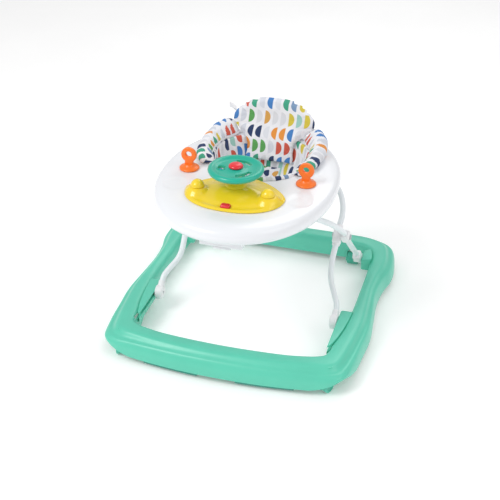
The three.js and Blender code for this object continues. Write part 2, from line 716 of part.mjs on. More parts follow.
/** A padded side wing that lies on the tray beside the child. */
function addSeatWing(side) {
  const spine = new THREE.CatmullRomCurve3([
    new THREE.Vector3(119, 136, 415),
    new THREE.Vector3(132, 112, 415),
    new THREE.Vector3(139, 80, 414),
    new THREE.Vector3(140, 45, 413),
    new THREE.Vector3(134, 10, 412),
    new THREE.Vector3(122, -20, 411),
    new THREE.Vector3(107, -46, 410),
  ]);
  const steps = 12;
  const sections = [];
  for (let i = 0; i <= steps; i += 1) {
    const u = i / steps;
    const point = spine.getPoint(u);
    const tangent = spine.getTangent(u);
    const across = new THREE.Vector3(-tangent.y, tangent.x, 0).normalize();
    const swell = Math.sqrt(Math.max(0.12, 1 - (2 * u - 1) ** 4));
    const height = (point.z - 403.2) * swell;
    const width = 13 * swell;
    const ring = [];
    for (let k = 0; k < 12; k += 1) {
      const angle = (2 * Math.PI * k) / 12;
      const offset = point.clone().addScaledVector(across, width * Math.cos(angle));
      ring.push(new THREE.Vector3(side * offset.x, offset.y, point.z + height * Math.sin(angle)));
    }
    sections.push(ring);
  }
  add(`seat_wing_${sideName[side]}`, loft(sections), 'fabric');
}

/** A plastic clip under the tray that holds the edge of the fabric. */
function addSeatClip(name, angle) {
  const point = ovalPoint(OPENING, angle, -15);
  const clip = box(-9, 9, -4, 4, 380, TRAY_TOP - WALL - 0.5);
  clip.rotateZ(angle + Math.PI / 2).translate(point.x, point.y, 0);
  add(name, clip, 'white');
}

// ---- Toys ------------------------------------------------------------------------------

/** Plan of the toy station: a wide bow in front, narrowing behind. */
function stationPoint(angle, scale) {
  const c = Math.cos(angle);
  const s = Math.sin(angle);
  const reach = s < 0 ? STATION.front : STATION.back;
  const narrowing = s > 0 ? 1 - 0.3 * s : 1;
  const x = STATION.x + STATION.halfX * scale * narrowing * Math.sign(c) * Math.abs(c) ** 0.9;
  const y = STATION.y + reach * scale * Math.sign(s) * Math.abs(s) ** 0.9;
  return [x, y];
}

function addStation() {
  const sides = 30;
  const floor = TRAY_TOP + GAP;
  const ring = (scale, z) => {
    const points = [];
    for (let i = 0; i < sides; i += 1) {
      const [x, y] = stationPoint((2 * Math.PI * i) / sides, scale);
      points.push(new THREE.Vector3(x, y, z));
    }
    return points;
  };
  const outside = [[1, 0], [1, 3], [0.97, 6], [0.85, 10], [0.6, 16], [0.2, 22]];
  const inside = [[0.2, 19], [0.6, 13], [0.82, 7.5], [0.93, 4.5], [0.97, 0]];
  const rings = [...inside, ...outside].map(([scale, height]) => ring(scale, floor + height));
  const capHole = rodZ(STATION.x, WHEEL.y, floor, floor + 40, 6, 20);
  const buttonHole = box(-14, 14, -240, -220, floor + 1, floor + 30);
  const pedestals = SIDES.map((side) => turned([[0, 406], [17, 406], [17, 416], [14.5, 422], [0, 422]], 24)
    .translate(side * DOME.x, DOME.y, 0));
  let shell = loft(rings);
  shell = join(shell, ...pedestals);
  shell = cut(shell, capHole, buttonHole);
  add('station_base', shell, 'yellow');
}

function addDome(side) {
  const dome = turned([[0, 422.4], [15.5, 422.4], [15.5, 424], [14, 429], [10.5, 434], [5.5, 437], [0, 438]], 24);
  add(`station_dome_${sideName[side]}`, dome.translate(side * DOME.x, DOME.y, 0), 'yellow');
}

function addSteering() {
  const column = turned([[7, 426], [22, 426], [16, 434], [12.5, 440], [12, 451], [7, 451], [7, 426]], 28);
  const spigot = turned([[7, 450], [9.4, 450], [9.4, 466], [7, 466], [7, 450]], 28);
  add('steering_column', join(column, spigot).translate(0, WHEEL.y, 0), 'yellow');

  const z = WHEEL.z;
  const rim = WHEEL.r;
  const disc = turned([
    [9.8, z - 10], [18, z - 10], [20, z - 4], [44, z - 5], [50, z - 9], [56, z - 8], [rim, z - 2],
    [rim - 1, z + 3], [54, z + 6], [48, z + 4], [44, z + 1], [20, z + 2], [17.2, z + 4], [9.8, z + 4],
    [9.8, z - 10],
  ], 30).translate(0, WHEEL.y, 0);
  const tall = 30;
  const round = rodZ(-31, WHEEL.y - 6, z - tall, z + tall, 9, 20);
  const crescents = [0.22, -0.42].map((start) => {
    const outline = [];
    for (let i = 0; i <= 8; i += 1) {
      const angle = start * Math.PI + (i / 8) * 0.36 * Math.PI;
      outline.push([41 * Math.cos(angle), WHEEL.y + 41 * Math.sin(angle)]);
    }
    for (let i = 8; i >= 0; i -= 1) {
      const angle = start * Math.PI + (i / 8) * 0.36 * Math.PI;
      outline.push([30 * Math.cos(angle), WHEEL.y + 30 * Math.sin(angle)]);
    }
    return plateZ(outline, z - tall, z + tall);
  });
  add('steering_wheel', cut(disc, round, ...crescents), 'teal');

  const horn = turned([[0, z - 3], [6, z - 3], [6, z + 5.2], [16, z + 5.2], [16, z + 8], [12, z + 11.5],
    [6, z + 13], [0, z + 13.4]], 28);
  add('horn_button', horn.translate(0, WHEEL.y, 0), 'red');
}

function addPowerButton() {
  const floor = TRAY_TOP + GAP;
  add('power_button', box(-13.5, 13.5, -239.5, -220.5, floor + 2, floor + 12), 'red');
}

/** What the station holds inside: two cells, a board and a speaker, closed below by a door. */
function addElectronics() {
  const floor = TRAY_TOP + GAP;
  for (const side of SIDES) {
    add(`battery_${sideName[side]}`, rodX(side * 2, side * 46.5, -133, floor + 6.2, 5.2, 16), 'dark');
  }
  add('circuit_board', box(-30, 30, -212, -190, floor + 4, floor + 5.6), 'board');
  add('speaker', turned([[0, 0], [14, 0], [14, 3], [8, 7], [0, 7]], 20)
    .translate(0, -168, floor + 2), 'dark');
}

function addToyLoop(side) {
  const { x, y, discR, ringR, holeR, holeZ, thick } = LOOP;
  const floor = TRAY_TOP + GAP;
  const foot = turned([[0, 0], [discR, 0], [discR, 4], [discR - 4, 7], [12, 9.5], [0, 10]], 28)
    .translate(0, 0, floor);
  const outline = [[-10.5, floor + 5], [10.5, floor + 5], [10.5, holeZ - 20]];
  const start = -Math.PI / 3.4;
  for (let i = 0; i <= 16; i += 1) {
    const angle = start + ((Math.PI - 2 * start) * i) / 16;
    outline.push([ringR * Math.cos(angle), holeZ - 3 + ringR * Math.sin(angle)]);
  }
  outline.push([-10.5, holeZ - 20]);
  const ear = plateX(outline, -thick / 2, thick / 2, [circlePoints(0, holeZ - 1, holeR, 18)]);
  ear.rotateZ(-Math.PI / 2);
  add(`toy_loop_${sideName[side]}`, join(foot, ear).translate(side * x, y, 0), 'orange');
}

// ---- Assembly --------------------------------------------------------------------------

addBase();
addGripStrip('grip_strip_front_left', -1, 45, 180, frontInside, 1);
addGripStrip('grip_strip_front_right', 1, 45, 180, frontInside, 1);
addGripStrip('grip_strip_rear_left', -1, 40, 150, rearInside, -1);
addGripStrip('grip_strip_rear_right', 1, 40, 150, rearInside, -1);
addRearLeg();
addFrontLeg();
addTray();
addChannel();
addLatchLever();
addSeatBack();
addSeatSkirt();
addSeatSling();
addStation();
addSteering();
addPowerButton();
addElectronics();
addSeatClip('seat_clip_front', -Math.PI / 2 + 0.55);
for (const side of SIDES) {
  addSlideTrack(side);
  addPivotBracket(side);
  addCaster(side);
  addRearWheel(side);
  addCrossing(side);
  addRearLegEnd(side);
  addFoot(side);
  addTrayClamp(side);
  addSeatWing(side);
  addDome(side);
  addToyLoop(side);
}
addSeatClip('seat_clip_left', Math.PI);
addSeatClip('seat_clip_right', 0);

export default walker;
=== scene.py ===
# Baby walker: a moulded ring base on wheels, a folding frame of bent tubes, an oval tray with
# a toy station, and a padded fabric seat. Shapes are worked out in millimetres and stored in
# metres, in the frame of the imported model. The walker drives towards -Y.
import bpy, json, math
from mathutils import Vector, Matrix, noise


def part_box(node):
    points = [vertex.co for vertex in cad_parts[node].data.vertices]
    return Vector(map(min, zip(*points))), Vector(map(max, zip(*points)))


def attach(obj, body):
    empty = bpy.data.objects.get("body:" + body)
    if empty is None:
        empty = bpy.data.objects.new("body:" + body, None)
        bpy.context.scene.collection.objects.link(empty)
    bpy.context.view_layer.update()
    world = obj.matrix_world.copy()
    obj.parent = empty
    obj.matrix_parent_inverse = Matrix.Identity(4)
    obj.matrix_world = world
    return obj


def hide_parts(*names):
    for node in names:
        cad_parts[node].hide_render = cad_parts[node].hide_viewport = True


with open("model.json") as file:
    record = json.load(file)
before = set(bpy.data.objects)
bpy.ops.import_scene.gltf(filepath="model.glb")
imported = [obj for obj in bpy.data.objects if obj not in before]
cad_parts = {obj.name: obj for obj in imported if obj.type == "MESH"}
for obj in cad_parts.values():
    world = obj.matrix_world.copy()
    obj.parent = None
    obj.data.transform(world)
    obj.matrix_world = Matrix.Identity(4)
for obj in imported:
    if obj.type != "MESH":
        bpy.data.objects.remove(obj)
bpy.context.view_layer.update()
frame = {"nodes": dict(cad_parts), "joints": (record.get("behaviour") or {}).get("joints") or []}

MM = 0.001
PI = math.pi
SIDES = {-1: "left", 1: "right"}


# ---- Places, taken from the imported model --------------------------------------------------

def top_of(node):
    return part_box(node)[1].z / MM


joints = {joint["name"]: joint for joint in frame["joints"]}
pivot = {name: Vector(joint.get("pos_m") or (0, 0, 0)) / MM for name, joint in joints.items()}

REAR_PIVOT = pivot["leg_fold"]
CROSSING = pivot["front_leg_fold"]
TRAY_PIVOT = pivot["tray_level"]
FOOT = pivot["glide_right_level"]
TRAY_TOP = top_of("tray_shell")
LEG_SLOPE = (CROSSING - Vector((0, FOOT.y, FOOT.z))).normalized()  # up the front leg


# ---- Camera, light and floor --------------------------------------------------------------

def look_at(place, thing, target):
    thing.location = place
    thing.rotation_euler = (Vector(target) - Vector(place)).to_track_quat("-Z", "Y").to_euler()


def add_camera():
    bpy.ops.object.camera_add()
    camera = bpy.context.object
    camera.data.lens = 77.5
    camera.data.sensor_width = 36
    look_at((0.6252, -2.1454, 1.5430), camera, (-0.0143, 0, 0.1601))
    bpy.context.scene.camera = camera


def add_area_light(place, target, size, power):
    bpy.ops.object.light_add(type="AREA")
    light = bpy.context.object
    light.data.size = size
    light.data.energy = power
    look_at(place, light, target)


def add_world():
    world = bpy.data.worlds.new("studio")
    world.use_nodes = True
    background = world.node_tree.nodes["Background"]
    background.inputs["Color"].default_value = (1, 1, 1, 1)
    background.inputs["Strength"].default_value = 0.62
    bpy.context.scene.world = world


# ---- Making pieces ------------------------------------------------------------------------

def rest():
    """Leaves edit mode with nothing selected."""
    if bpy.context.object and bpy.context.object.mode != "OBJECT":
        bpy.ops.object.mode_set(mode="OBJECT")
    bpy.ops.object.select_all(action="DESELECT")


def only(piece):
    rest()
    piece.select_set(True)
    bpy.context.view_layer.objects.active = piece
    return piece


def edit(piece, select="SELECT"):
    only(piece)
    bpy.ops.object.mode_set(mode="EDIT")
    bpy.ops.mesh.select_all(action=select)


def apply_modifier(piece, kind, **settings):
    only(piece)
    modifier = piece.modifiers.new(kind.lower(), kind)
    for name, value in settings.items():
        setattr(modifier, name, value)
    bpy.ops.object.modifier_apply(modifier=modifier.name)
    return piece


def soften(piece, width, segments=2, angle=35):
    """Rounds the sharp edges of a piece."""
    return apply_modifier(piece, "BEVEL", width=width * MM, segments=segments,
                          limit_method="ANGLE", angle_limit=math.radians(angle), harden_normals=False)


def smooth_surface(piece, levels=1):
    return apply_modifier(piece, "SUBSURF", levels=levels, render_levels=levels)


def face_outwards(piece):
    edit(piece)
    bpy.ops.mesh.normals_make_consistent(inside=False)
    rest()
    return piece


def laid_over(across, along, place, uv=None):
    """A grid of faces laid over a surface: place(u, v) gives each corner, u and v from 0 to 1.
    Corners that fall together are merged, so a grid can close on itself."""
    rest()
    bpy.ops.mesh.primitive_grid_add(x_subdivisions=across, y_subdivisions=along, size=1)
    piece = bpy.context.object
    mesh = piece.data
    corners = [(round((vert.co.x + 0.5) * across), round((vert.co.y + 0.5) * along))
               for vert in mesh.vertices]
    if uv:
        layer = mesh.uv_layers.active.data
        for loop in mesh.loops:
            i, j = corners[loop.vertex_index]
            layer[loop.index].uv = uv(i / across, j / along)
    for vert, (i, j) in zip(mesh.vertices, corners):
        vert.co = Vector(place(i / across, j / along)) * MM
    edit(piece)
    bpy.ops.mesh.remove_doubles(threshold=0.00001)
    bpy.ops.mesh.normals_make_consistent(inside=False)
    rest()
    return piece


def close_holes(piece):
    """Fills the open ends of a piece."""
    edit(piece, "DESELECT")
    bpy.ops.mesh.select_mode(type="EDGE")
    bpy.ops.mesh.select_non_manifold()
    bpy.ops.mesh.fill()
    bpy.ops.mesh.select_all(action="SELECT")
    bpy.ops.mesh.normals_make_consistent(inside=False)
    rest()
    return piece


def turned(profile, centre, axis="Z", steps=48):
    """A turned piece: its profile is a list of (radius, height) from axis to axis."""
    spin = {"Z": lambda r, t, h: (r * math.cos(t), r * math.sin(t), h),
            "X": lambda r, t, h: (h, r * math.cos(t), r * math.sin(t)),
            "Y": lambda r, t, h: (r * math.sin(t), h, r * math.cos(t))}[axis]
    last = len(profile) - 1

    def place(u, v):
        r, h = profile[round(v * last)]
        return Vector(centre) + Vector(spin(r, 2 * PI * u, h))
    return laid_over(steps, last, place)


def block(low, high, round_by=0.0, segments=3):
    """A box between two corners, with rounded edges."""
    rest()
    low, high = Vector(low), Vector(high)
    bpy.ops.mesh.primitive_cube_add(size=1)
    piece = bpy.context.object
    for vert in piece.data.vertices:
        share = vert.co + Vector((0.5, 0.5, 0.5))
        vert.co = Vector(low[k] + (high[k] - low[k]) * share[k] for k in range(3)) * MM
    if round_by:
        soften(piece, round_by, segments)
    return piece


def plate(outline, start, end, axis="Z", round_by=0.0, segments=2):
    """A flat outline drawn out along an axis. The outline is given as [x, y], or [y, z] for X."""
    rest()
    place = {"Z": lambda a, b, h: (a, b, h), "X": lambda a, b, h: (h, a, b)}[axis]
    bpy.ops.mesh.primitive_circle_add(vertices=len(outline), fill_type="NGON")
    piece = bpy.context.object
    for vert, (a, b) in zip(piece.data.vertices, outline):
        vert.co = Vector(place(a, b, start)) * MM
    edit(piece)
    bpy.ops.mesh.extrude_region_move(
        TRANSFORM_OT_translate={"value": Vector(place(0, 0, end - start)) * MM})
    bpy.ops.mesh.select_all(action="SELECT")
    bpy.ops.mesh.normals_make_consistent(inside=False)
    rest()
    if round_by:
        soften(piece, round_by, segments)
    return piece


def rod(start, end, r, steps=32):
    """A round bar between two points."""
    rest()
    start, end = Vector(start), Vector(end)
    bpy.ops.mesh.primitive_cylinder_add(vertices=steps, radius=r * MM, depth=(end - start).length * MM)
    piece = bpy.context.object
    turn = (end - start).to_track_quat("Z", "Y").to_matrix().to_4x4()
    piece.data.transform(Matrix.Translation((start + end) * MM / 2) @ turn)
    return piece


def side_block(side, xs, ys, zs, round_by=0.0):
    """A block on one side of the walker; xs are the right side's."""
    near, far = sorted(side * x for x in xs)
    return block((near, ys[0], zs[0]), (far, ys[1], zs[1]), round_by)


def cross_rod(centre, start, end, r, steps=32):
    """A round bar along X through a centre."""
    return rod((start, centre.y, centre.z), (end, centre.y, centre.z), r, steps)


def cut(piece, *tools):
    for tool in tools:
        apply_modifier(piece, "BOOLEAN", object=tool, operation="DIFFERENCE", solver="EXACT")
        bpy.data.objects.remove(tool)
    return piece


def fuse(piece, *others):
    for other in others:
        apply_modifier(piece, "BOOLEAN", object=other, operation="UNION", solver="EXACT")
        bpy.data.objects.remove(other)
    return piece


def gather(piece, *others):
    """Several separate bodies kept as one piece."""
    only(piece)
    for other in others:
        other.select_set(True)
    bpy.ops.object.join()
    return piece


def done(piece, name, body, finish, stands_for=(), crease=35):
    """Names a piece, gives it its finish, and hands it to its body."""
    piece.name = name
    piece.data.name = name
    material, slot = finish
    piece.data.materials.clear()
    piece.data.materials.append(material)
    only(piece)
    bpy.ops.object.shade_smooth_by_angle(angle=math.radians(crease))
    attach(piece, body)
    nodes = [stands_for] if isinstance(stands_for, str) else stands_for
    if nodes:
        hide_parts(*nodes)
    return piece


def curve_point(points, place, closed=False):
    """A point of a smooth curve through a list of points, at a place from 0 to 1."""
    count = len(points)
    spans = count if closed else count - 1
    t = min(max(place * spans, 0), spans - 1e-9) if not closed else (place % 1) * spans
    i = int(t)
    t -= i
    pick = (lambda k: points[k % count]) if closed else (lambda k: points[min(max(k, 0), count - 1)])
    a, b, c, d = (Vector(pick(k)) for k in (i - 1, i, i + 1, i + 2))
    return 0.5 * ((2 * b) + (c - a) * t + (2 * a - 5 * b + 4 * c - d) * t ** 2
                  + (3 * b - a - 3 * c + d) * t ** 3)


def tube(points, r, steps=160):
    """A bent tube along a smooth curve through points."""
    rest()
    path = bpy.data.curves.new("path", "CURVE")
    path.dimensions = "3D"
    spline = path.splines.new("POLY")
    spline.points.add(steps)
    for i, knot in enumerate(spline.points):
        knot.co = (*(curve_point(points, i / steps) * MM), 1)
    path.bevel_depth = r * MM
    path.bevel_resolution = 8
    path.use_fill_caps = True
    piece = bpy.data.objects.new("tube", path)
    bpy.context.scene.collection.objects.link(piece)
    only(piece)
    bpy.ops.object.convert(target="MESH")
    piece = bpy.context.object
    edit(piece)
    bpy.ops.mesh.remove_doubles(threshold=0.00001)
    bpy.ops.mesh.normals_make_consistent(inside=False)
    rest()
    return piece


def smoothstep(low, high, value):
    t = min(max((value - low) / (high - low), 0), 1)
    return t * t * (3 - 2 * t)


def mound(distance, width):
    """A soft bump of height 1 that fades over a width."""
    return math.exp(-(distance / width) ** 2)


# ---- Finishes -----------------------------------------------------------------------------

def linear(code):
    """A colour given as six hexadecimal digits, as the renderer wants it."""
    parts = [int(code[i:i + 2], 16) / 255 for i in (0, 2, 4)]
    return tuple(c / 12.92 if c < 0.04045 else ((c + 0.055) / 1.055) ** 2.4 for c in parts) + (1,)


class Nodes:
    """A short way to write a node tree."""

    def __init__(self, name):
        self.material = bpy.data.materials.new(name)
        self.material.use_nodes = True
        self.tree = self.material.node_tree
        self.shader = self.tree.nodes["Principled BSDF"]

    def add(self, kind, inputs=(), **settings):
        node = self.tree.nodes.new("ShaderNode" + kind)
        for key, value in settings.items():
            setattr(node, key, value)
        for key, value in dict(inputs).items():
            self.put(node.inputs[key], value)
        return node

    def put(self, socket, value):
        if isinstance(value, bpy.types.NodeSocket):
            self.tree.links.new(value, socket)
        else:
            socket.default_value = value

    def math(self, operation, *values):
        return self.add("Math", dict(enumerate(values)), operation=operation).outputs[0]

    def noise(self, place, scale, detail=2.0, rough=0.5):
        node = self.add("TexNoise", {"Vector": place, "Scale": scale, "Detail": detail, "Roughness": rough})
        return node.outputs["Fac"]

    def spread(self, value, low, high, from_low=0.3, from_high=0.7):
        """Maps a value's middle range onto low to high."""
        node = self.add("MapRange", {"Value": value, "From Min": from_low, "From Max": from_high,
                                     "To Min": low, "To Max": high})
        return node.outputs[0]

    def mix(self, share, first, second):
        node = self.add("Mix", data_type="RGBA")
        for socket, value in ((node.inputs[0], share), (node.inputs[6], first), (node.inputs[7], second)):
            self.put(socket, value)
        return node.outputs[2]

    def bump(self, height, depth, strength=1.0, normal=None):
        """depth is in metres."""
        inputs = {"Height": height, "Distance": depth, "Strength": strength}
        if normal is not None:
            inputs["Normal"] = normal
        return self.add("Bump", inputs).outputs[0]

    def finish(self, **sockets):
        for name, value in sockets.items():
            self.put(self.shader.inputs[name.replace("_", " ")], value)
        return self.material


def moulded(name, code, rough, shade=0.9, grain=0.00003, coat=0.0, glow=0.0):
    """Moulded plastic: a faint flow in its colour, a fine skin and slightly rubbed edges."""
    n = Nodes(name)
    place = n.add("TexCoord").outputs["Object"]
    colour = linear(code)
    deep = tuple(c * shade for c in colour[:3]) + (1,)
    flow = n.spread(n.noise(place, 9, 3), 0, 1)
    edge = n.spread(n.add("NewGeometry").outputs["Pointiness"], 0, 0.35, 0.52, 0.62)
    worn = tuple(min(1, c * 1.15 + 0.02) for c in colour[:3]) + (1,)
    body = n.mix(edge, n.mix(flow, deep, colour), worn)
    skin = n.bump(n.noise(place, 1400, 2), grain, 0.5)
    ripple = n.bump(n.noise(place, 60, 1), grain * 3, 0.35, skin)
    roughness = n.spread(n.noise(place, 35, 3), rough * 0.96, rough * 1.04)
    material = n.finish(Base_Color=body, Roughness=roughness, Normal=ripple)
    n.shader.inputs["Coat Weight"].default_value = coat
    n.shader.inputs["Coat Roughness"].default_value = 0.12
    n.shader.inputs["Subsurface Weight"].default_value = glow
    n.shader.inputs["Subsurface Radius"].default_value = (0.004, 0.004, 0.004)
    n.shader.inputs["Subsurface Scale"].default_value = 1
    return material


def painted(name, code, rough):
    """Powder paint on a tube: a fine orange peel and a few scuffs."""
    n = Nodes(name)
    place = n.add("TexCoord").outputs["Object"]
    scuffs = n.spread(n.noise(place, 75, 6, 0.75), 0, 1, 0.62, 0.72)
    colour = linear(code)
    dull = tuple(c * 0.9 for c in colour[:3]) + (1,)
    peel = n.bump(n.noise(place, 650, 3), 0.00008, 0.6)
    roughness = n.math("ADD", n.math("MULTIPLY", scuffs, 0.15), rough)
    return n.finish(Base_Color=n.mix(scuffs, colour, dull), Roughness=roughness, Normal=peel)


def steel(name):
    n = Nodes(name)
    place = n.add("TexCoord").outputs["Object"]
    lines = n.noise(n.add("Mapping", {"Vector": place, "Scale": (20, 1500, 1500)}).outputs[0], 1, 3)
    material = n.finish(Base_Color=linear("B9BDC1"), Roughness=n.spread(lines, 0.25, 0.45),
                        Normal=n.bump(lines, 0.00004, 0.5))
    n.shader.inputs["Metallic"].default_value = 1.0
    return material


def rubber(name, code):
    n = Nodes(name)
    place = n.add("TexCoord").outputs["Object"]
    grit = n.noise(place, 500, 5, 0.7)
    dust = n.spread(n.noise(place, 40, 4), 0, 0.4)
    return n.finish(Base_Color=n.mix(dust, linear(code), linear("6F9A94")),
                    Roughness=n.spread(grit, 0.75, 0.95), Normal=n.bump(grit, 0.0002, 0.6))


PRINT_COLOURS = ("15305E", "3C7CC0", "D6D9E2", "7896BA", "569F50", "36A080", "DADBE0", "9CCBC1", "E59136",
                 "CF5540", "D0D4DE", "D8A04C", "D6C23F", "15305E", "DCDFE6", "3C7CC0")
PRINT_PITCH = (0.0198, 0.0365)
PRINT_RADIUS = 0.0160


def printed_cloth(name):
    """White woven cloth printed with rows of half moons, on the piece's own UV map in metres."""
    n = Nodes(name)
    uv = n.add("TexCoord").outputs["UV"]
    split = n.add("SeparateXYZ", {"Vector": uv})
    across = n.math("DIVIDE", split.outputs[0], PRINT_PITCH[0])
    up = n.math("DIVIDE", split.outputs[1], PRINT_PITCH[1])
    column, row = n.math("FLOOR", across), n.math("FLOOR", up)
    in_x = n.math("MULTIPLY", n.math("SUBTRACT", n.math("FRACT", across), 0.5), PRINT_PITCH[0])
    in_y = n.math("MULTIPLY", n.math("SUBTRACT", n.math("FRACT", up), 0.5), PRINT_PITCH[1])
    cell = n.add("CombineXYZ", {"X": column, "Y": row}).outputs[0]
    chance = n.add("TexWhiteNoise", {"Vector": cell}, noise_dimensions="2D").outputs["Value"]
    # every other row faces the other way
    facing = n.math("SUBTRACT", n.math("MULTIPLY", n.math("PINGPONG", row, 1.0), 2.0), 1.0)
    from_flat = n.math("ADD", n.math("MULTIPLY", in_x, facing), PRINT_RADIUS * 0.5)
    reach = n.math("SQRT", n.math("ADD", n.math("POWER", n.math("MULTIPLY", from_flat, 1.15), 2.0),
                                  n.math("POWER", in_y, 2.0)))
    blur = 0.00035
    inside = n.spread(reach, 1, 0, PRINT_RADIUS - blur, PRINT_RADIUS + blur)
    past_flat = n.spread(from_flat, 0, 1, -blur, blur)
    moon = n.math("MULTIPLY", inside, past_flat)
    ramp = n.add("ValToRGB", {"Fac": chance})
    ramp.color_ramp.interpolation = "CONSTANT"
    stops = ramp.color_ramp.elements
    for i, code in enumerate(PRINT_COLOURS):
        stop = stops[i] if i < 2 else stops.new(i / len(PRINT_COLOURS))
        stop.position = i / len(PRINT_COLOURS)
        stop.color = linear(code)
    scale = 1 / 0.00055
    thread = n.add("VectorMath", {0: uv, 1: (scale, scale, scale)}, operation="MULTIPLY").outputs[0]
    threads = n.add("SeparateXYZ", {"Vector": thread})
    warp = n.math("ABSOLUTE", n.math("SINE", n.math("MULTIPLY", threads.outputs[0], PI)))
    weft = n.math("ABSOLUTE", n.math("SINE", n.math("MULTIPLY", threads.outputs[1], PI)))
    weave = n.math("MULTIPLY", warp, weft)
    ground = n.mix(n.spread(n.noise(uv, 30, 3), 0, 1), linear("E3E4EA"), linear("F3F3F7"))
    inked = n.mix(moon, ground, ramp.outputs[0])
    # painted shade: the gaps between the threads, where the weave is lowest, are greyed a little towards 9AA0AA
    colour = n.mix(n.math("MULTIPLY", n.math("SUBTRACT", 1.0, weave), 0.05), inked, linear("9AA0AA"))
    puckers = n.bump(n.noise(uv, 90, 3), 0.0012, 0.35)
    material = n.finish(Base_Color=colour, Roughness=n.spread(weave, 0.92, 0.8, 0, 1),
                        Normal=n.bump(weave, 0.00018, 0.5, puckers))
    n.shader.inputs["Sheen Weight"].default_value = 0.1
    n.shader.inputs["Sheen Roughness"].default_value = 0.5
    return material


GREEN = (moulded("green_moulding", "5FD0B4", 0.36, 0.93, 0.00005, 0.12), "green_shell")
WHEEL_GREEN = (moulded("wheel_moulding", "4FBFA6", 0.42, 0.88, 0.00006), "wheel_green")
STRIP = (rubber("strip_moulding", "2F8F7E"), "strip_rubber")
STEEL = (steel("pin_steel"), "steel_pin")
PAINT = (painted("tube_powder_paint", "EDF2F5", 0.3), "tube_paint")
FITTING = (moulded("white_fitting_moulding", "F3F3F5", 0.4, 0.96, 0.00004), "white_fitting")
TRAY = (moulded("tray_moulding", "ECEEF2", 0.26, 0.995, 0.000005, 0.3), "tray_white")
YELLOW = (moulded("yellow_moulding", "F9D82B", 0.22, 0.95, 0.00002, 0.3), "toy_yellow")
TEAL = (moulded("teal_moulding", "12B096", 0.3, 0.92, 0.00003, 0.2), "wheel_teal")
RED = (moulded("red_moulding", "E92A35", 0.25, 0.9, 0.00002, 0.3), "button_red")
ORANGE = (moulded("orange_moulding", "FF7A1E", 0.34, 0.93, 0.00004, 0.15), "loop_orange")
DARK = (moulded("dark_moulding", "34373B", 0.55, 0.85, 0.00006), "dark_part")
BOARD = (moulded("solder_mask", "2F6B3A", 0.4, 0.8, 0.00008), "circuit")
CLOTH = (printed_cloth("half_moon_cloth"), "seat_fabric")


# ---- Base ring ----------------------------------------------------------------------------

EDGE_Z = 15
CREST_Z = 65.5
WALL = 3
ARCH_LIFT = 25
REAR_WHEEL_X = 194
PIN_R, PIN_HOLE_R = 4, 4.3
TUBE_R, TUBE_HOLE_R = 7, 7.3
# From the middle of the front to the middle of the back: inner edge x, y, outer edge x, y,
# how deep the shoulder steps down outside the crest, and the arch over the caster
RAIL = (
    (0, -256, 0, -326.5, 0.25, 0), (75, -254, 80, -324.5, 0.3, 0), (145, -249, 155, -318, 0.45, 0),
    (190, -241, 215, -309.5, 0.7, 0), (216, -233, 258, -301, 0.9, 0.5), (230, -221, 287, -280, 1, 1),
    (234, -190, 301, -222, 1, 0.25), (244, -135, 306, -150, 1, 0), (249, -80, 309.5, -88, 0.9, 0),
    (251, -12, 304, -20, 0.8, 0), (251, 60, 296.5, 60, 0.5, 0), (251, 125, 300, 125, 0.7, 0),
    (250, 180, 311, 180, 0.9, 0), (246, 222, 309.5, 236, 1, 0), (230, 250, 293, 297, 0.9, 0),
    (195, 262, 243, 323, 0.7, 0), (130, 264, 160, 326.5, 0.5, 0), (65, 264, 80, 326.5, 0.4, 0),
    (0, 264, 0, 326.5, 0.35, 0),
)
RING = list(RAIL) + [(-a, b, -c, d, e, f) for a, b, c, d, e, f in reversed(RAIL[1:-1])]
RING_INNER = [(row[0], row[1], 0) for row in RING]
RING_OUTER = [(row[2], row[3], 0) for row in RING]
RING_STYLE = [(row[4], row[5], 0) for row in RING]


def rail_profile(width, step, arch):
    """Section of the rail's outside: (distance from the inner edge, height)."""
    edge = EDGE_Z + ARCH_LIFT * arch
    low = 52 - 4 * step

    def lifted(height):
        return edge + (height - EDGE_Z) * (low - edge) / (low - EDGE_Z)
    return (
        (0, EDGE_Z), (0.4, 30), (1.2, 46), (3.5, 56), (8.5, 62), (15, 64.2),
        (0.40 * width, CREST_Z), (0.56 * width, CREST_Z - 0.4), (0.64 * width, 63.5 - 2.0 * step),
        (0.71 * width, 60.5 - 6 * step), (0.79 * width, 57.5 - 7 * step), (0.86 * width, 54 - 4 * step),
        (0.93 * width, lifted(45)), (width - 1.2, lifted(34)), (width, lifted(22)), (width, edge),
    )


def hollow(around, over, outside, wall):
    """A ring of one wall thickness, open below: outside(u) gives the curve of its outer face as a
    function of w from 0 to 1, which returns a point and the direction of the wall's inside."""
    rows = 2 * over + 2
    stations = {}

    def place(u, v):
        u = 0.0 if u >= 1 else u
        if u not in stations:
            stations[u] = outside(u)
        k = round(v * rows) % rows
        w = k / over if k <= over else 1 - (k - over - 1) / over
        point, inward = stations[u](w)
        return point if k <= over else point + inward * wall
    return laid_over(around, rows, place)


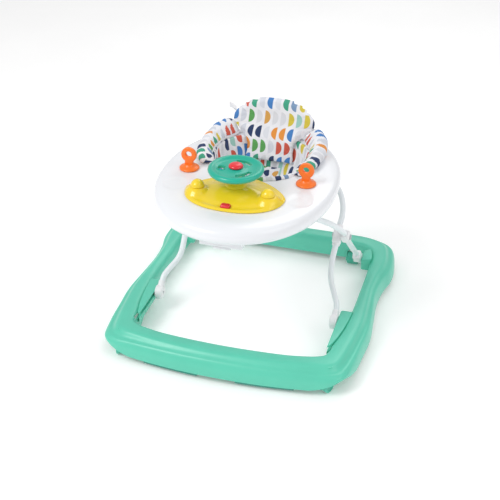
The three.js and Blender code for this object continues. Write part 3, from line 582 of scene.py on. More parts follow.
def add_base():
    """The ring, with a recess for each rear wheel, a boss for each caster and a slot in the rail."""
    up = Vector((0, 0, 1))
    reach = 0.004  # on either side of a place, for the slope of the section there

    def outside(u):
        inner, outer, style = (curve_point(row, u, True) for row in (RING_INNER, RING_OUTER, RING_STYLE))
        across = outer - inner
        profile = [(d, h, 0) for d, h in rail_profile(across.length, max(0, style.x), max(0, style.y))]
        across.normalize()

        def at(w):
            spot = curve_point(profile, w)
            ahead = curve_point(profile, w + reach) - curve_point(profile, w - reach)
            inward = Vector((ahead.y, -ahead.x, 0)).normalized()
            if w in (0, 1):
                inward = Vector((1 - 2 * w, 0, 0))
            return inner + across * spot.x + up * spot.y, across * inward.x + up * inward.y
        return at
    ring = hollow(240, 30, outside, WALL)
    for side, name in SIDES.items():
        x = side * REAR_WHEEL_X
        ribs = [block((x + k - 1.5, 254, 10), (x + k + 1.5, 290, 37), 0.8) for k in (-16.5, 16.5)]
        ring = cut(ring, block((x - 15, 236, 0), (x + 15, 284, 38), 3))
        ring = gather(ring, *ribs)
        centre = pivot[f"caster_{name}_swivel"]
        boss = turned([(0, 62), (9, 62), (9, 40), (8.4, 39), (4.4, 39), (4.4, 60), (0, 60)],
                      (centre.x, centre.y, 0), steps=32)
        ring = gather(ring, boss)
        ring = cut(ring, side_block(side, (227, 240), (-216, -150), (51, 63), 0.6))
    done(ring, "ring_moulding", "base", GREEN, "base_shell", 50)


def add_slide_track(side):
    """The raised track beside the rail that the front foot's slider runs in."""
    front, back, top, slot_half = -206, -52, 65, 5.4
    outline = [(229.4, front), (236, -196), (244.5, -165), (251, -128), (255.6, -84), (256.6, back + 3),
               (253, back), (233, back), (229.4, back - 4)]  # its outer side is tucked under the rail
    body = plate([(side * x, y) for x, y in outline], 38, top, round_by=1.6, segments=3)
    groove = side_block(side, (226, 238.5), (front - 4, back - 3),
                        (FOOT.z - slot_half, FOOT.z + slot_half), 0.8)
    steps = [side_block(side, (226, 231), (y, y + 2.5), (FOOT.z - 16, FOOT.z - 9), 0.4)
             for y in range(-190, -66, 12)]
    body = cut(body, groove, *steps)
    done(body, f"slide_rail_{SIDES[side]}", "base", GREEN, f"slide_track_{SIDES[side]}")


def add_pivot_bracket(side):
    outline = [(228, 191), (231, 188), (252, 188), (255, 191), (254, 206), (250, 224), (243, 238),
               (228, 238)]
    body = plate([(side * x, y) for x, y in outline], 32, 68)
    for vert in body.data.vertices:  # the top slopes down towards the middle
        if vert.co.z > 60 * MM and abs(vert.co.x) < 232 * MM:
            vert.co.z -= 6 * MM
    soften(body, 2, 3)
    body = cut(body, cross_rod(REAR_PIVOT, side * 220, side * 245.5, PIN_HOLE_R))
    done(body, f"hinge_block_{SIDES[side]}", "base", GREEN, f"pivot_bracket_{SIDES[side]}")
    outer, inner = side * 204, side * 207.4  # the two faces of the pin's head
    pin = gather(cross_rod(REAR_PIVOT, inner, side * 244, PIN_R),
                 turned([(0, outer), (5.6, outer), (7, outer + side * 1.2), (7, inner), (0, inner)],
                        (0, REAR_PIVOT.y, REAR_PIVOT.z), "X", 32))
    done(pin, f"hinge_pin_{SIDES[side]}", "base", STEEL, f"leg_pivot_pin_{SIDES[side]}")


def add_grip_strips():
    """Strips of rubber that hang a little lower than the skirt. The front ones are ribbed."""
    edges = {"front": lambda x: -324 + x * x / 2450, "rear": lambda x: 322.0}
    count, width, rib_spans = 24, 11, 12
    for end, edge in edges.items():
        inwards = width if end == "front" else -width
        for side, name in SIDES.items():
            node = f"grip_strip_{end}_{name}"
            low, high = (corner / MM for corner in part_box(node))
            near, far = (low.x, high.x) if side > 0 else (high.x, low.x)
            xs = [near + (far - near) * i / count for i in range(count + 1)]
            outer = [(x, edge(x)) for x in xs]
            outline = outer + [(x, y + inwards) for x, y in reversed(outer)]
            strip = plate(outline, low.z - 2, high.z, round_by=1.2)
            if end == "front":
                places = [near + (far - near) * k / rib_spans for k in range(1, rib_spans)]
                strip = gather(strip, *[block((x - 0.8, edge(x) + 1.5 - 0.6, low.z),
                                              (x + 0.8, edge(x) + 9.5 + 0.6, low.z + 3), 0.3, 1)
                                        for x in places])
            done(strip, f"rubber_strip_{end}_{name}", "base", STRIP, node)


# ---- Wheels -------------------------------------------------------------------------------

def add_caster(side):
    name = SIDES[side]
    stem, hub = pivot[f"caster_{name}_swivel"], pivot[f"caster_{name}_roll"]
    trail = Vector((hub.x, hub.y, 0)) - Vector((stem.x, stem.y, 0))
    turn = math.atan2(trail.y, trail.x) + PI / 2
    place = Matrix.Translation(Vector((stem.x, stem.y, 0)) * MM) @ Matrix.Rotation(turn, 4, "Z")
    back, r, hood_r = trail.length, hub.z, 16.5
    arc = [(-back + hood_r * math.cos(t), r + hood_r * math.sin(t))
           for t in (PI * (0.30 + 0.95 * k / 14) for k in range(15))]
    hood = plate([(6, 27), (7, 33), (6, 37.5), (-4, 37.5)] + arc
                 + [(-back - 8, 9.6), (-back + 5, 9.2), (-2, 17)], -3.5, 3.5, "X", 1.2, 3)
    hood = cut(hood, rod((-9, -back, r), (9, -back, r), 3.3))
    flange = turned([(0, 38.4), (7, 38.4), (8, 37.8), (8, 36.4), (4, 35.4), (0, 35.4)], (0, 0, 0))
    stalk = turned([(0, 57), (3.4, 57), (4, 56), (4, 37), (0, 37)], (0, 0, 0), steps=24)
    body = gather(hood, flange, stalk)
    body.data.transform(place)
    done(body, f"caster_hood_{name}", f"caster_{name}", GREEN, f"caster_body_{name}")
    tread = [(0, 4.1), (5, 4.1), (6, 5.2), (12.5, 5.2), (13.2, 4.3), (16.8, 4.3), (18, 5.6), (18, 11.6),
             (16.8, 13), (13.4, 13), (12.6, 11.6), (5.4, 11.2), (4.6, 12.4), (0, 12.8)]
    discs = [face_outwards(turned([(rr, h * end) for rr, h in tread], (0, -back, r), "X", 56))
             for end in (-1, 1)]
    wheels = gather(*discs, rod((-4.6, -back, r), (4.6, -back, r), 3))
    wheels.data.transform(place)
    node = f"caster_wheels_{name}"
    done(wheels, f"caster_wheel_pair_{name}", node, WHEEL_GREEN, node, 30)


def add_rear_wheel(side):
    """A wide wheel with grooves round its tread."""
    node = f"rear_wheel_{SIDES[side]}"
    half, bore, r = 14, 3.3, 17
    tread = [(bore, -half), (13, -half), (13.8, -half + 1.2), (15.6, -half), (r, -half + 1.6)]
    for k in range(5):
        x = -half + 5.2 + k * 4.4
        tread += [(r, x - 1.2), (16.2, x - 0.4), (16.2, x + 0.4), (r, x + 1.2)]
    tread += [(r, half - 1.6), (15.6, half), (13.8, half - 1.2), (13, half), (bore, half), (bore, -half)]
    wheel = face_outwards(turned(tread, pivot[f"{node}_roll"], "X", 56))
    done(wheel, f"roller_{SIDES[side]}", node, WHEEL_GREEN, node, 30)


# ---- Folding frame ------------------------------------------------------------------------

# Where each tube bends: x, and the distance along the leg from its lower end
FRONT_BENDS = ((188.5, 150), (190, 185), (190, 232), (192, 258), (188.5, 284), (180, 308), (164, 331),
               (130, 363), (104, 387), (84, 405), (66, 416.5), (57, 416.5), (20, 416.5))
REAR_BENDS = ((217.5, 14), (217.5, 42), (214, 95), (211, 150), (210.5, 182), (210.5, 235), (205, 262),
              (196, 287), (183, 311), (164, 330), (138, 349), (108, 373), (82, 396), (58, 412), (38, 416.5))
FOOT_X = 220.5
FOOT_DIRECTION = Vector((0, 0.75, 0.66)).normalized()  # out of the foot, into the leg
REAR_SLOPE = Vector((0, -LEG_SLOPE.y, LEG_SLOPE.z))  # up the rear leg


def whole_frame(half):
    return half + [Vector((-p.x, p.y, p.z)) for p in reversed(half)]


def add_leg_frames():
    def on_rear(x, along):
        return Vector((x, REAR_PIVOT.y - along * LEG_SLOPE.y, REAR_PIVOT.z + along * LEG_SLOPE.z))

    def on_front(x, along):
        return Vector((x, FOOT.y + along * LEG_SLOPE.y, FOOT.z + along * LEG_SLOPE.z))
    foot = Vector((FOOT_X, FOOT.y, FOOT.z))
    rear = whole_frame([on_rear(x, along) for x, along in REAR_BENDS])
    front = whole_frame([foot + FOOT_DIRECTION * 15.5, foot + FOOT_DIRECTION * 28, Vector((218, -58, 87)),
                         Vector((209, -42, 99)), Vector((197, -20, 113)), Vector((190, -5, 132))]
                        + [on_front(x, along) for x, along in FRONT_BENDS])
    done(tube(rear, TUBE_R, 260), "rear_tube", "rear_leg", PAINT, "rear_leg_frame", 60)
    done(tube(front, TUBE_R, 300), "front_tube", "front_leg", PAINT, "front_leg_frame", 60)


def along_leg(piece, x, place, slope):
    """Stands a piece that was made upright at the origin along a leg."""
    piece.data.transform(Matrix.Translation(Vector((x, place.y, place.z)) * MM)
                         @ Matrix.Rotation(-math.atan2(slope.y, slope.z), 4, "X"))
    return piece


def add_crossing(side):
    """A sleeve on each leg, and the rivet that they turn on."""
    name = SIDES[side]
    for leg, x, slope, half_long in (("front", 190, LEG_SLOPE, 20), ("rear", 210.5, REAR_SLOPE, 22)):
        shell = block((-9.9, -11, -half_long), (9.9, 11, half_long), 2.6, 4)
        collars = [turned([(7.3, h - 4), (8.9, h - 4), (9.4, h - 3), (9.4, h + 3), (8.9, h + 4),
                           (7.3, h + 4), (7.3, h - 4)], (0, 0, 0))
                   for h in (-half_long - 2, half_long + 2)]
        grooves = [block((-12, -12, h - 0.5), (12, -10.4, h + 0.5))
                   for h in (-half_long * 0.45, half_long * 0.45)]
        shell = cut(shell, rod((0, 0, -40), (0, 0, 40), TUBE_HOLE_R, 40), *grooves)
        shell = gather(shell, *[face_outwards(collar) for collar in collars])
        along_leg(shell, side * x, CROSSING, slope)
        shell = cut(shell, cross_rod(CROSSING, side * 170, side * 240, PIN_HOLE_R))
        done(shell, f"{leg}_sleeve_{name}", f"{leg}_leg", FITTING, f"{leg}_leg_sleeve_{name}")
    pin = cross_rod(CROSSING, side * 178, side * 222, PIN_R)
    caps = [turned([(0, a), (5.4, a), (7, a + s * 1.1), (7, a + s * 2.6), (0, a + s * 2.6)],
                   (0, CROSSING.y, CROSSING.z), "X", 36)
            for a, s in ((side * 177, side), (side * 223.3, -side))]
    done(gather(pin, *caps), f"cross_rivet_{name}", "rear_leg", STEEL, f"cross_pin_{name}")


def add_rear_leg_end(side):
    """The fitting on the rear leg's lower end, with an eye for its pin."""
    name, x = SIDES[side], side * 217.5
    shell = block((-9.7, -11, -4), (9.7, 11, 38), 2.6, 4)
    eye = rod((-9.7, 0, 0), (9.7, 0, 0), 12.5, 48)
    soften(eye, 1.4, 3)
    shell = fuse(shell, eye)
    ridges = [block((-8, -11.6, h), (8, -10.4, h + 3), 0.5) for h in (14, 21, 28)]
    shell = along_leg(gather(shell, *ridges), x, REAR_PIVOT, REAR_SLOPE)
    shell = cut(shell, cross_rod(REAR_PIVOT, side * 200, side * 240, PIN_HOLE_R))
    done(shell, f"rear_fork_{name}", "rear_leg", FITTING, f"rear_leg_end_{name}")


def add_foot(side):
    """The round foot on the front leg's lower end, and the slider that it turns on."""
    name = SIDES[side]
    centre = Vector((0, FOOT.y, FOOT.z))
    a, b = side * 210.5, side * 228.6  # the foot's two faces
    profile = [(0, a), (12.6, a), (14.6, a + side * 1.4), (15, a + side * 3), (15, b - side * 3.4),
               (16, b - side * 3), (16, b - side * 1), (15, b), (0, b)]
    barrel = face_outwards(turned(profile, centre, "X", 48))
    collar = turned([(0, -6), (8.3, -6), (8.3, 22), (8.6, 23), (8.6, 26), (8.2, 26.8), (7.2, 26.8),
                     (7.2, 17), (0, 17)], (0, 0, 0), steps=40)
    along_leg(collar, side * FOOT_X, FOOT, FOOT_DIRECTION)
    toe = block((min(a, b) + 1.5, FOOT.y - 13, FOOT.z - 16.2),
                (max(a, b) - 3, FOOT.y + 9, FOOT.z - 4), 3, 3)
    foot = fuse(barrel, face_outwards(collar), toe)
    foot = cut(foot, cross_rod(FOOT, side * 205, side * 240, 3.8, 24))
    done(foot, f"slide_foot_{name}", "front_leg", FITTING, f"front_leg_foot_{name}")
    slider = side_block(side, (230.6, 237), (FOOT.y - 7, FOOT.y + 7), (FOOT.z - 5, FOOT.z + 5), 1.2)
    near, far = side * 212.5, side * 232
    pin = turned([(0, near), (2.6, near), (3.5, side * 213.4), (3.5, far), (0, far)], centre, "X", 28)
    done(gather(slider, face_outwards(pin)), f"slider_{name}", f"glide_{name}", DARK,
         f"glide_slider_{name}")


# ---- Tray ---------------------------------------------------------------------------------

RIM = (0, -58.5, 206, 264, 2.1)  # middle x, y, half width, half length, roundness
OPENING = (0, 36, 118, 117, 2.3)


def oval(shape, angle, inset=0.0):
    x, y, half_x, half_y, power = shape
    c, s = math.cos(angle), math.sin(angle)
    return Vector((x + (half_x - inset) * math.copysign(abs(c) ** (2 / power), c),
                   y + (half_y - inset) * math.copysign(abs(s) ** (2 / power), s), 0))


def add_tray():
    low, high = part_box("tray_shell")
    top, bottom = high.z / MM, low.z / MM

    def outside(u):
        rim, mouth = oval(RIM, 2 * PI * u), oval(OPENING, 2 * PI * u)
        inwards = mouth - rim
        width = inwards.length
        inwards.normalize()
        flat = [(43 + (width - 53) * k / 8, top, 0) for k in range(9)]
        profile = [(17, bottom, 0), (12, bottom + 0.8, 0), (6, bottom + 4.2, 0), (1.8, bottom + 10.5, 0),
                   (0, bottom + 18.5, 0), (1.4, top - 13.5, 0), (5.5, top - 7.6, 0),
                   (12.5, top - 3.8, 0), (22, top - 1.7, 0), (33, top - 0.5, 0)] + flat + [
                   (width - 4, top - 0.5, 0), (width - 1.2, top - 2.6, 0), (width, top - 6.5, 0),
                   (width, top - 18, 0), (width, 372, 0)]

        def at(w):
            spot = curve_point(profile, w)
            ahead = curve_point(profile, min(w + 0.002, 1)) - curve_point(profile, max(w - 0.002, 0))
            inward = Vector((ahead.y, -ahead.x, 0)).normalized()
            point = rim + inwards * spot.x + Vector((0, 0, spot.y))
            if spot.y > top - 3:
                for side in SIDES:  # two shallow round places beside the station
                    gap = (Vector((point.x, point.y, 0)) - Vector((side * 145, -150, 0))).length
                    point.z -= 1.4 * (1 - smoothstep(24, 29, gap))
            return point, inwards * inward.x + Vector((0, 0, inward.y))
        return at
    tray = hollow(200, 64, outside, WALL)
    done(tray, "tray_moulding", "tray", TRAY, "tray_shell", 60)


def add_channel():
    """The housing under the tray that the rear crossbar slides in."""
    roof, wall, half = TRAY_TOP - 3.6, 3, 48
    latch_y, latch_z = -234, 334
    mouth = OPENING[1] - OPENING[3] - 11
    outline = [(-268, 328), (-80, 328), (-76, 332), (-76, 367), (-80, 371), (mouth, 371), (mouth, roof),
               (-272, roof), (-272, 332)]
    body = plate(outline, -half, half, "X", 1.6, 3)
    slot_r, slot_z = 9.4, 351
    slot = [(y + slot_r * math.cos(t), slot_z + slot_r * math.sin(t))
            for y, start in ((-222, PI / 2), (-89, -PI / 2))
            for t in (start + PI * k / 10 for k in range(11))]
    inner = half - wall
    body = cut(body, plate(slot, -half - 2, half + 2, "X"),
               block((-inner, -272 + wall, 320), (inner, mouth - wall, roof - wall), 1),
               block((-inner, -272 + wall, 320), (inner, -76 - wall, 371 - wall), 1),
               rod((-half - 3, latch_y, latch_z), (half + 3, latch_y, latch_z), 2.8, 20))
    done(body, "crossbar_channel", "tray", TRAY, "tray_channel")
    lever = plate([(-266, 321.6), (-264, 321), (-230, 321), (-229, 338), (-239, 338), (-242, 327),
                   (-266, 327)], -20, 20, "X", 1.2, 3)
    ridges = [block((-16, y, 320.6), (16, y + 1.6, 322), 0.4, 1) for y in (-262, -258, -254, -250)]
    lever = gather(lever, rod((-49, latch_y, latch_z), (49, latch_y, latch_z), 2.5, 24), *ridges)
    done(lever, "latch_paddle", "latch_lever", TRAY, "latch_lever")


def add_clamps_and_clips():
    roof = TRAY_TOP - 3.5
    for side, name in SIDES.items():
        a, b = sorted((side * 25, side * 55))
        body = plate([(164, 341), (165, 340), (214, 340), (217, 343), (217, 358), (214, 361.2), (178, 361.2),
                      (175, 364), (175, roof), (164, roof)], a, b, "X", 1.2, 2)
        body = cut(body, cross_rod(TRAY_PIVOT, a - 2, b + 2, TUBE_HOLE_R, 40))
        done(body, f"crossbar_clamp_{name}", "tray", TRAY, f"tray_clamp_{name}")
    for node, angle in (("seat_clip_front", -PI / 2 + 0.55), ("seat_clip_left", PI), ("seat_clip_right", 0)):
        spot = oval(OPENING, angle, -15)
        clip = block((-9, -4, 380), (9, 4, roof), 1.2)
        clip = gather(clip, block((-6, -4.0, 376.4), (6, -1.4, 380.6), 0.6))
        clip.data.transform(Matrix.Translation(Vector((spot.x, spot.y, 0)) * MM)
                            @ Matrix.Rotation(angle + PI / 2, 4, "Z"))
        done(clip, node.replace("seat_clip", "fabric_clip"), "tray", TRAY, node)


# ---- Toy station --------------------------------------------------------------------------

STATION_Y = -160
COLUMN_Y = -155
WHEEL_Z, WHEEL_R = 462, 62
STATION_FLOOR = 402.3
DOME_X, DOME_Y = 80, -182


def station_outline(angle, scale):
    c, s = math.cos(angle), math.sin(angle)
    reach = 84 if s < 0 else 75
    narrow = 1 - 0.3 * s if s > 0 else 1
    return Vector((114 * scale * narrow * math.copysign(abs(c) ** 0.9, c),
                   STATION_Y + reach * scale * math.copysign(abs(s) ** 0.9, s), 0))


def station_height(scale, x, y):
    """Height of the shell over its floor: a lip, a hollow behind it, then a rise to the column."""
    lip = 3.4 + 3.0 * smoothstep(1.0, 0.93, scale)
    rise = 15.5 * smoothstep(0.93, 0.12, scale)
    bowl = 2.2 * mound(scale - 0.83, 0.09) * smoothstep(0, 40, STATION_Y - y)
    height = lip + rise - bowl
    for side in SIDES:
        gap = math.hypot(x - side * DOME_X, y - DOME_Y)
        height = max(height, 3 + 15.5 * smoothstep(36, 16, gap))
    return height


def add_station():
    rows = 46
    scales = [1.0, 0.996, 0.985] + [0.975 - 0.9 * k / (rows - 3) for k in range(rows - 2)]

    def place(u, v):
        k = round(v * (2 * rows + 2)) % (2 * rows + 2)
        upper = k <= rows
        i = k if upper else 2 * rows + 1 - k
        scale = scales[i]
        angle = 2 * PI * (u % 1)
        spot = station_outline(angle, scale - (0 if upper or i > rows - 4 else 0.02))
        # the innermost rings close in on the round hole for the column
        close = smoothstep(0.2, scales[-1], scale)
        hole = Vector((6.4 * math.cos(angle), COLUMN_Y + 6.4 * math.sin(angle), 0))
        spot = spot.lerp(hole, close)
        height = station_height(scale, spot.x, spot.y)
        if upper:
            height = min((1.2, 3.2, 4.2)[i] if i < 3 else 99, height)
        else:
            height = max(0, height - 2.6) if i > 2 else 0
        return spot + Vector((0, 0, STATION_FLOOR + height))
    shell = laid_over(150, 2 * rows + 2, place)
    sockets = [turned([(15.9, 405), (16.2, 414), (17.0, 417), (16.6, 420), (15.4, 422), (0, 422),
                       (0, 419.5), (13, 419.5), (13, 405), (15.9, 405)], (side * DOME_X, DOME_Y, 0))
               for side in SIDES]
    shell = cut(shell, block((-12.6, -238.2, 395), (10.6, -221.4, 430), 6.2, 8))
    shell = gather(shell, *[face_outwards(socket) for socket in sockets])
    done(shell, "station_shell", "tray", YELLOW, "station_base", 50)
    for side, name in SIDES.items():
        dome = turned([(0, 422.4), (14.4, 422.4), (15.5, 423.2), (15.5, 425), (14.9, 427.6), (13.2, 430.8),
                       (10.4, 434), (7, 436.4), (3.4, 437.7), (0, 438)], (side * DOME_X, DOME_Y, 0), steps=56)
        done(face_outwards(dome), f"round_knob_{name}", "tray", YELLOW, f"station_dome_{name}", 60)
    column = turned([(7, 424), (25, 424), (21.4, 427.5), (17.6, 431.6), (14.8, 436), (13.2, 441),
                     (12.4, 446), (12.2, 449.4), (11.4, 450.4), (9.4, 450.4), (9.4, 465.4), (8.8, 466),
                     (7, 466), (7, 424)], (0, COLUMN_Y, 0), steps=64)
    done(face_outwards(column), "wheel_column", "tray", YELLOW, "steering_column", 50)
    button = block((-12, -237.6, STATION_FLOOR + 2), (10, -222, STATION_FLOOR + 12), 5.6, 8)
    done(button, "power_cap", "power_button", RED, "power_button", 60)


def add_wheel():
    """The toy steering wheel, with a round hole and two crescent windows, and the horn in its middle."""
    z, r, centre = WHEEL_Z, WHEEL_R, (0, COLUMN_Y, 0)
    hole_x, hole_y = -31, -161
    profile = [(9.8, z - 10), (17, z - 10), (18.5, z - 9), (20, z - 4.4), (34, z - 4.4), (44, z - 5.4),
               (49, z - 8.4), (53, z - 9.2), (57, z - 8), (60.4, z - 5), (r, z - 1.2), (61.4, z + 2),
               (58.6, z + 4.8), (55, z + 5.9), (51.4, z + 5.4), (48, z + 3.6), (45, z + 1.6),
               (41, z + 0.9), (24, z + 1.6), (20.4, z + 2.4), (18.4, z + 3.8), (15, z + 4), (9.8, z + 4),
               (9.8, z - 10)]
    wheel = face_outwards(turned(profile, centre, steps=96))
    wheel = cut(wheel, rod((hole_x, hole_y, z - 30), (hole_x, hole_y, z + 30), 9, 48))
    for start in (0.22, -0.42):
        outline = []
        for radius, sign, order in ((41, 1, range(17)), (30, -1, range(16, -1, -1))):
            for k in order:
                angle = (start + 0.36 * k / 16) * PI
                reach = radius + 1.6 * math.sin(PI * k / 16) * sign - sign * 1.4
                outline.append((reach * math.cos(angle), COLUMN_Y + reach * math.sin(angle)))
        wheel = cut(wheel, plate(outline, z - 30, z + 30))
    ring = turned([(9.2, z + 0.6), (11.4, z + 0.6), (11.4, z + 2.2), (10.4, z + 2.8), (9.2, z + 2.2),
                   (9.2, z + 0.6)], (hole_x, hole_y, 0), steps=48)
    wheel = gather(wheel, face_outwards(ring))
    done(wheel, "toy_wheel", "steering_wheel", TEAL, "steering_wheel", 50)
    horn = turned([(0, z - 3), (6, z - 3), (6, z + 5.2), (15.2, z + 5.2), (16, z + 6), (16, z + 8),
                   (14.6, z + 10.2), (11.6, z + 12), (6.5, z + 13.1), (0, z + 13.4)], centre, steps=64)
    done(face_outwards(horn), "horn_cap", "horn_button", RED, "horn_button", 60)


def add_electronics():
    for side, name in SIDES.items():
        a, b = side * 2, side * 46.5
        cell = turned([(0, a), (4.9, a), (5.2, a + side * 0.5), (5.2, b - side * 2), (4.6, b - side * 1.6),
                       (1.8, b - side * 1.6), (1.6, b), (0, b)], (0, -133, STATION_FLOOR + 6.2), "X", 40)
        done(face_outwards(cell), f"cell_{name}", "tray", DARK, f"battery_{name}")
    board = block((-30, -212, STATION_FLOOR + 4), (30, -190, STATION_FLOOR + 5.6), 0.3, 1)
    chips = [block((x, -206, STATION_FLOOR + 3.2), (x + 7, -198, STATION_FLOOR + 4.1), 0.3, 1)
             for x in (-22, -6, 12)]
    done(gather(board, *chips), "sound_board", "tray", BOARD, "circuit_board")
    cone = turned([(0, 2), (13, 2), (14, 3), (14, 5), (8, 9), (0, 9)], (0, -168, STATION_FLOOR), steps=48)
    done(face_outwards(cone), "sound_cone", "tray", DARK, "speaker")


def add_toy_loop(side):
    name, f, hole_z = SIDES[side], STATION_FLOOR, 440
    foot = turned([(0, f), (21.6, f), (23, f + 1.2), (23, f + 3), (21.4, f + 4.8), (17, f + 6.4),
                   (13.2, f + 8.6), (11, f + 12), (0, f + 12)], (0, 0, 0), steps=64)
    outline = [(-12, f + 6), (12, f + 6), (10.4, f + 12), (9.6, hole_z - 22)]
    start = -PI / 3.2
    outline += [(18 * math.cos(a), hole_z - 3 + 18 * math.sin(a))
                for a in (start + (PI - 2 * start) * k / 28 for k in range(29))]
    outline += [(-9.6, hole_z - 22), (-10.4, f + 12)]
    ear = plate(outline, -4.5, 4.5, "X")
    ear = cut(ear, rod((-10, 0, hole_z - 1), (10, 0, hole_z - 1), 7, 40))
    soften(ear, 2, 4, 50)
    ear.data.transform(Matrix.Rotation(-PI / 2, 4, "Z"))
    loop = gather(face_outwards(foot), ear)
    loop.data.transform(Matrix.Translation(Vector((side * 138, -72, 0)) * MM))
    done(loop, f"toy_ring_{name}", "tray", ORANGE, f"toy_loop_{name}", 50)


# ---- Seat ---------------------------------------------------------------------------------

def stuffed(piece, pressure, cap, voxel=4.0):
    """Fills a closed form like a stuffed cover: remeshed finely, swollen by cloth simulation, and
    eased back where a point has gone further than the cap."""
    apply_modifier(piece, "REMESH", mode="VOXEL", voxel_size=voxel * MM)
    start = [vert.co.copy() for vert in piece.data.vertices]
    only(piece)
    cloth = piece.modifiers.new("cloth", "CLOTH")
    cloth.settings.quality = 4
    cloth.settings.mass = 0.15
    cloth.settings.use_pressure = True
    cloth.settings.uniform_pressure_force = pressure
    cloth.settings.effector_weights.gravity = 0
    cloth.settings.tension_stiffness = 18
    cloth.settings.compression_stiffness = 4
    cloth.settings.bending_stiffness = 0.3
    cloth.collision_settings.use_collision = False
    for number in range(1, 21):
        bpy.context.scene.frame_set(number)
    bpy.ops.object.modifier_apply(modifier=cloth.name)
    bpy.context.scene.frame_set(1)
    for vert, rest_place in zip(piece.data.vertices, start):
        move = vert.co - rest_place
        limit = cap * MM
        if move.length > limit:
            move *= limit / move.length
        vert.co = rest_place + move
    apply_modifier(piece, "SMOOTH", factor=0.5, iterations=4)
    return smooth_surface(piece)


def lay_print(piece, flat):
    """Gives a cloth piece its UV map in metres: flat(point, normal) is where a point lies in the
    flat cut of cloth."""
    mesh = piece.data
    while mesh.uv_layers:
        mesh.uv_layers.remove(mesh.uv_layers[0])
    layer = mesh.uv_layers.new(name="cloth").data
    for face in mesh.polygons:
        for index in face.loop_indices:
            u, v = flat(mesh.vertices[mesh.loops[index].vertex_index].co / MM, face.normal)
            layer[index].uv = (u * MM, v * MM)


BACK_HALF, BACK_TOP = 108.5, 492
# The padded back from its foot inside the opening up to its head: height, place, half width
BACK_RISE = ((345, 113, 60), (372, 118, 62), (390, 122, 65), (402, 127, 70), (411, 136, 84), (421, 147, 97),
             (432, 156, 106), (448, 164, 109), (470, 172, 109), (500, 183, 109))


def back_at(z, column):
    """The back's place or half width at a height."""
    for low, high in zip(BACK_RISE, BACK_RISE[1:]):
        if z <= high[0] or high is BACK_RISE[-1]:
            share = min(max((z - low[0]) / (high[0] - low[0]), 0), 1)
            return low[column] + (high[column] - low[column]) * share


def back_middle(x, z):
    """Where the middle of the back's pad lies, front to back."""
    return back_at(z, 1) - 4 * (x / BACK_HALF) ** 2


def back_length(z):
    """Length of cloth from the foot of the back up to a height."""
    length = 0
    for low, high in zip(BACK_RISE, BACK_RISE[1:]):
        if z > low[0]:
            share = min(1, (z - low[0]) / (high[0] - low[0]))
            length += share * math.hypot(high[0] - low[0], high[1] - low[1])
    return length


def add_seat_back():
    foot = BACK_RISE[0][0]

    def arch(x):
        """Height of the top edge of the back at a share of its half width."""
        return 430 + (BACK_TOP + 6 - 430) * max(0, 1 - abs(x) ** 2.2) ** 0.5
    across, up = 48, 44

    def place(u, v):
        k = round(v * (2 * up + 2)) % (2 * up + 2)
        front = k <= up
        share = k / up if front else (2 * up + 1 - k) / up
        sideways = -math.cos(PI * (0.02 + 0.96 * u))
        top = arch(sideways)
        z = foot + 1 + (top - foot - 1) * share
        x = sideways * back_at(z, 2)
        half = 4.2 * (1 - 0.75 * smoothstep(0.9, 1, share)) * (1 - 0.6 * smoothstep(0.9, 1, abs(2 * u - 1)))
        return (x, back_middle(x, z) + (-half if front else half), z)
    pad = laid_over(across, 2 * up + 2, place)
    close_holes(pad)
    pad = stuffed(pad, 4, 6)
    for vert in pad.data.vertices:
        p = vert.co / MM
        side = 1 if p.x > 0 else -1
        front = -1 if p.y < back_middle(p.x, p.z) else 1
        reach = abs(p.x) / back_at(p.z, 2)
        sway = noise.noise(Vector((p.x * 0.03, p.z * 0.02, 3)))
        # slack folds that run up from the foot, and a few across the sides
        shift = 1.3 * math.sin(p.x * 0.19 + 2.4 * sway) * smoothstep(446, 400, p.z)
        shift += 1.6 * noise.noise(Vector((p.x * 0.035, p.z * 0.05, 7)))
        for height, lean, depth in ((372, 0.1, 2.0), (416, 0.2, 1.6), (431, 0.34, 1.2), (455, -0.12, 0.8)):
            crease = p.z - height - lean * abs(p.x) + 5 * sway
            shift += depth * mound(crease, 2.6) * smoothstep(0.25, 0.75, reach)
        vert.co.y -= front * shift * MM
    lay_print(pad, lambda p, n: (p.x + 4, back_length(p.z) + (10 if n.y < 0.25 else 17)))
    done(pad, "padded_back", "tray", CLOTH, "seat_back", 180)


# Along each wing, from the back to the front: inner edge x, y, outer edge x, y, crest height
WING = (
    (76, 142, 112, 168, 445), (90, 108, 140, 128, 441), (102, 80, 150.5, 88, 434), (106, 47, 152.5, 46, 430),
    (104, 14, 149, 10, 427), (97, -14, 141, -22, 425), (89, -38, 127, -50, 419),
)
WING_INNER = [Vector((a, b, 0)) for a, b, c, d, top in WING]
WING_OUTER = [Vector((c, d, 0)) for a, b, c, d, top in WING]
WING_CREST = [Vector((top, 0, 0)) for a, b, c, d, top in WING]
# Section of a wing: share of its width from the inside, share of its height
WING_SECTION = ((0.0, -0.12), (0.0, 0.05), (0.09, 0.26), (0.24, 0.5), (0.41, 0.79), (0.58, 0.97),
                (0.76, 0.98), (0.92, 0.8), (1.0, 0.5), (0.99, 0.2), (0.9, 0.02), (0.6, 0.0),
                (0.24, -0.04))


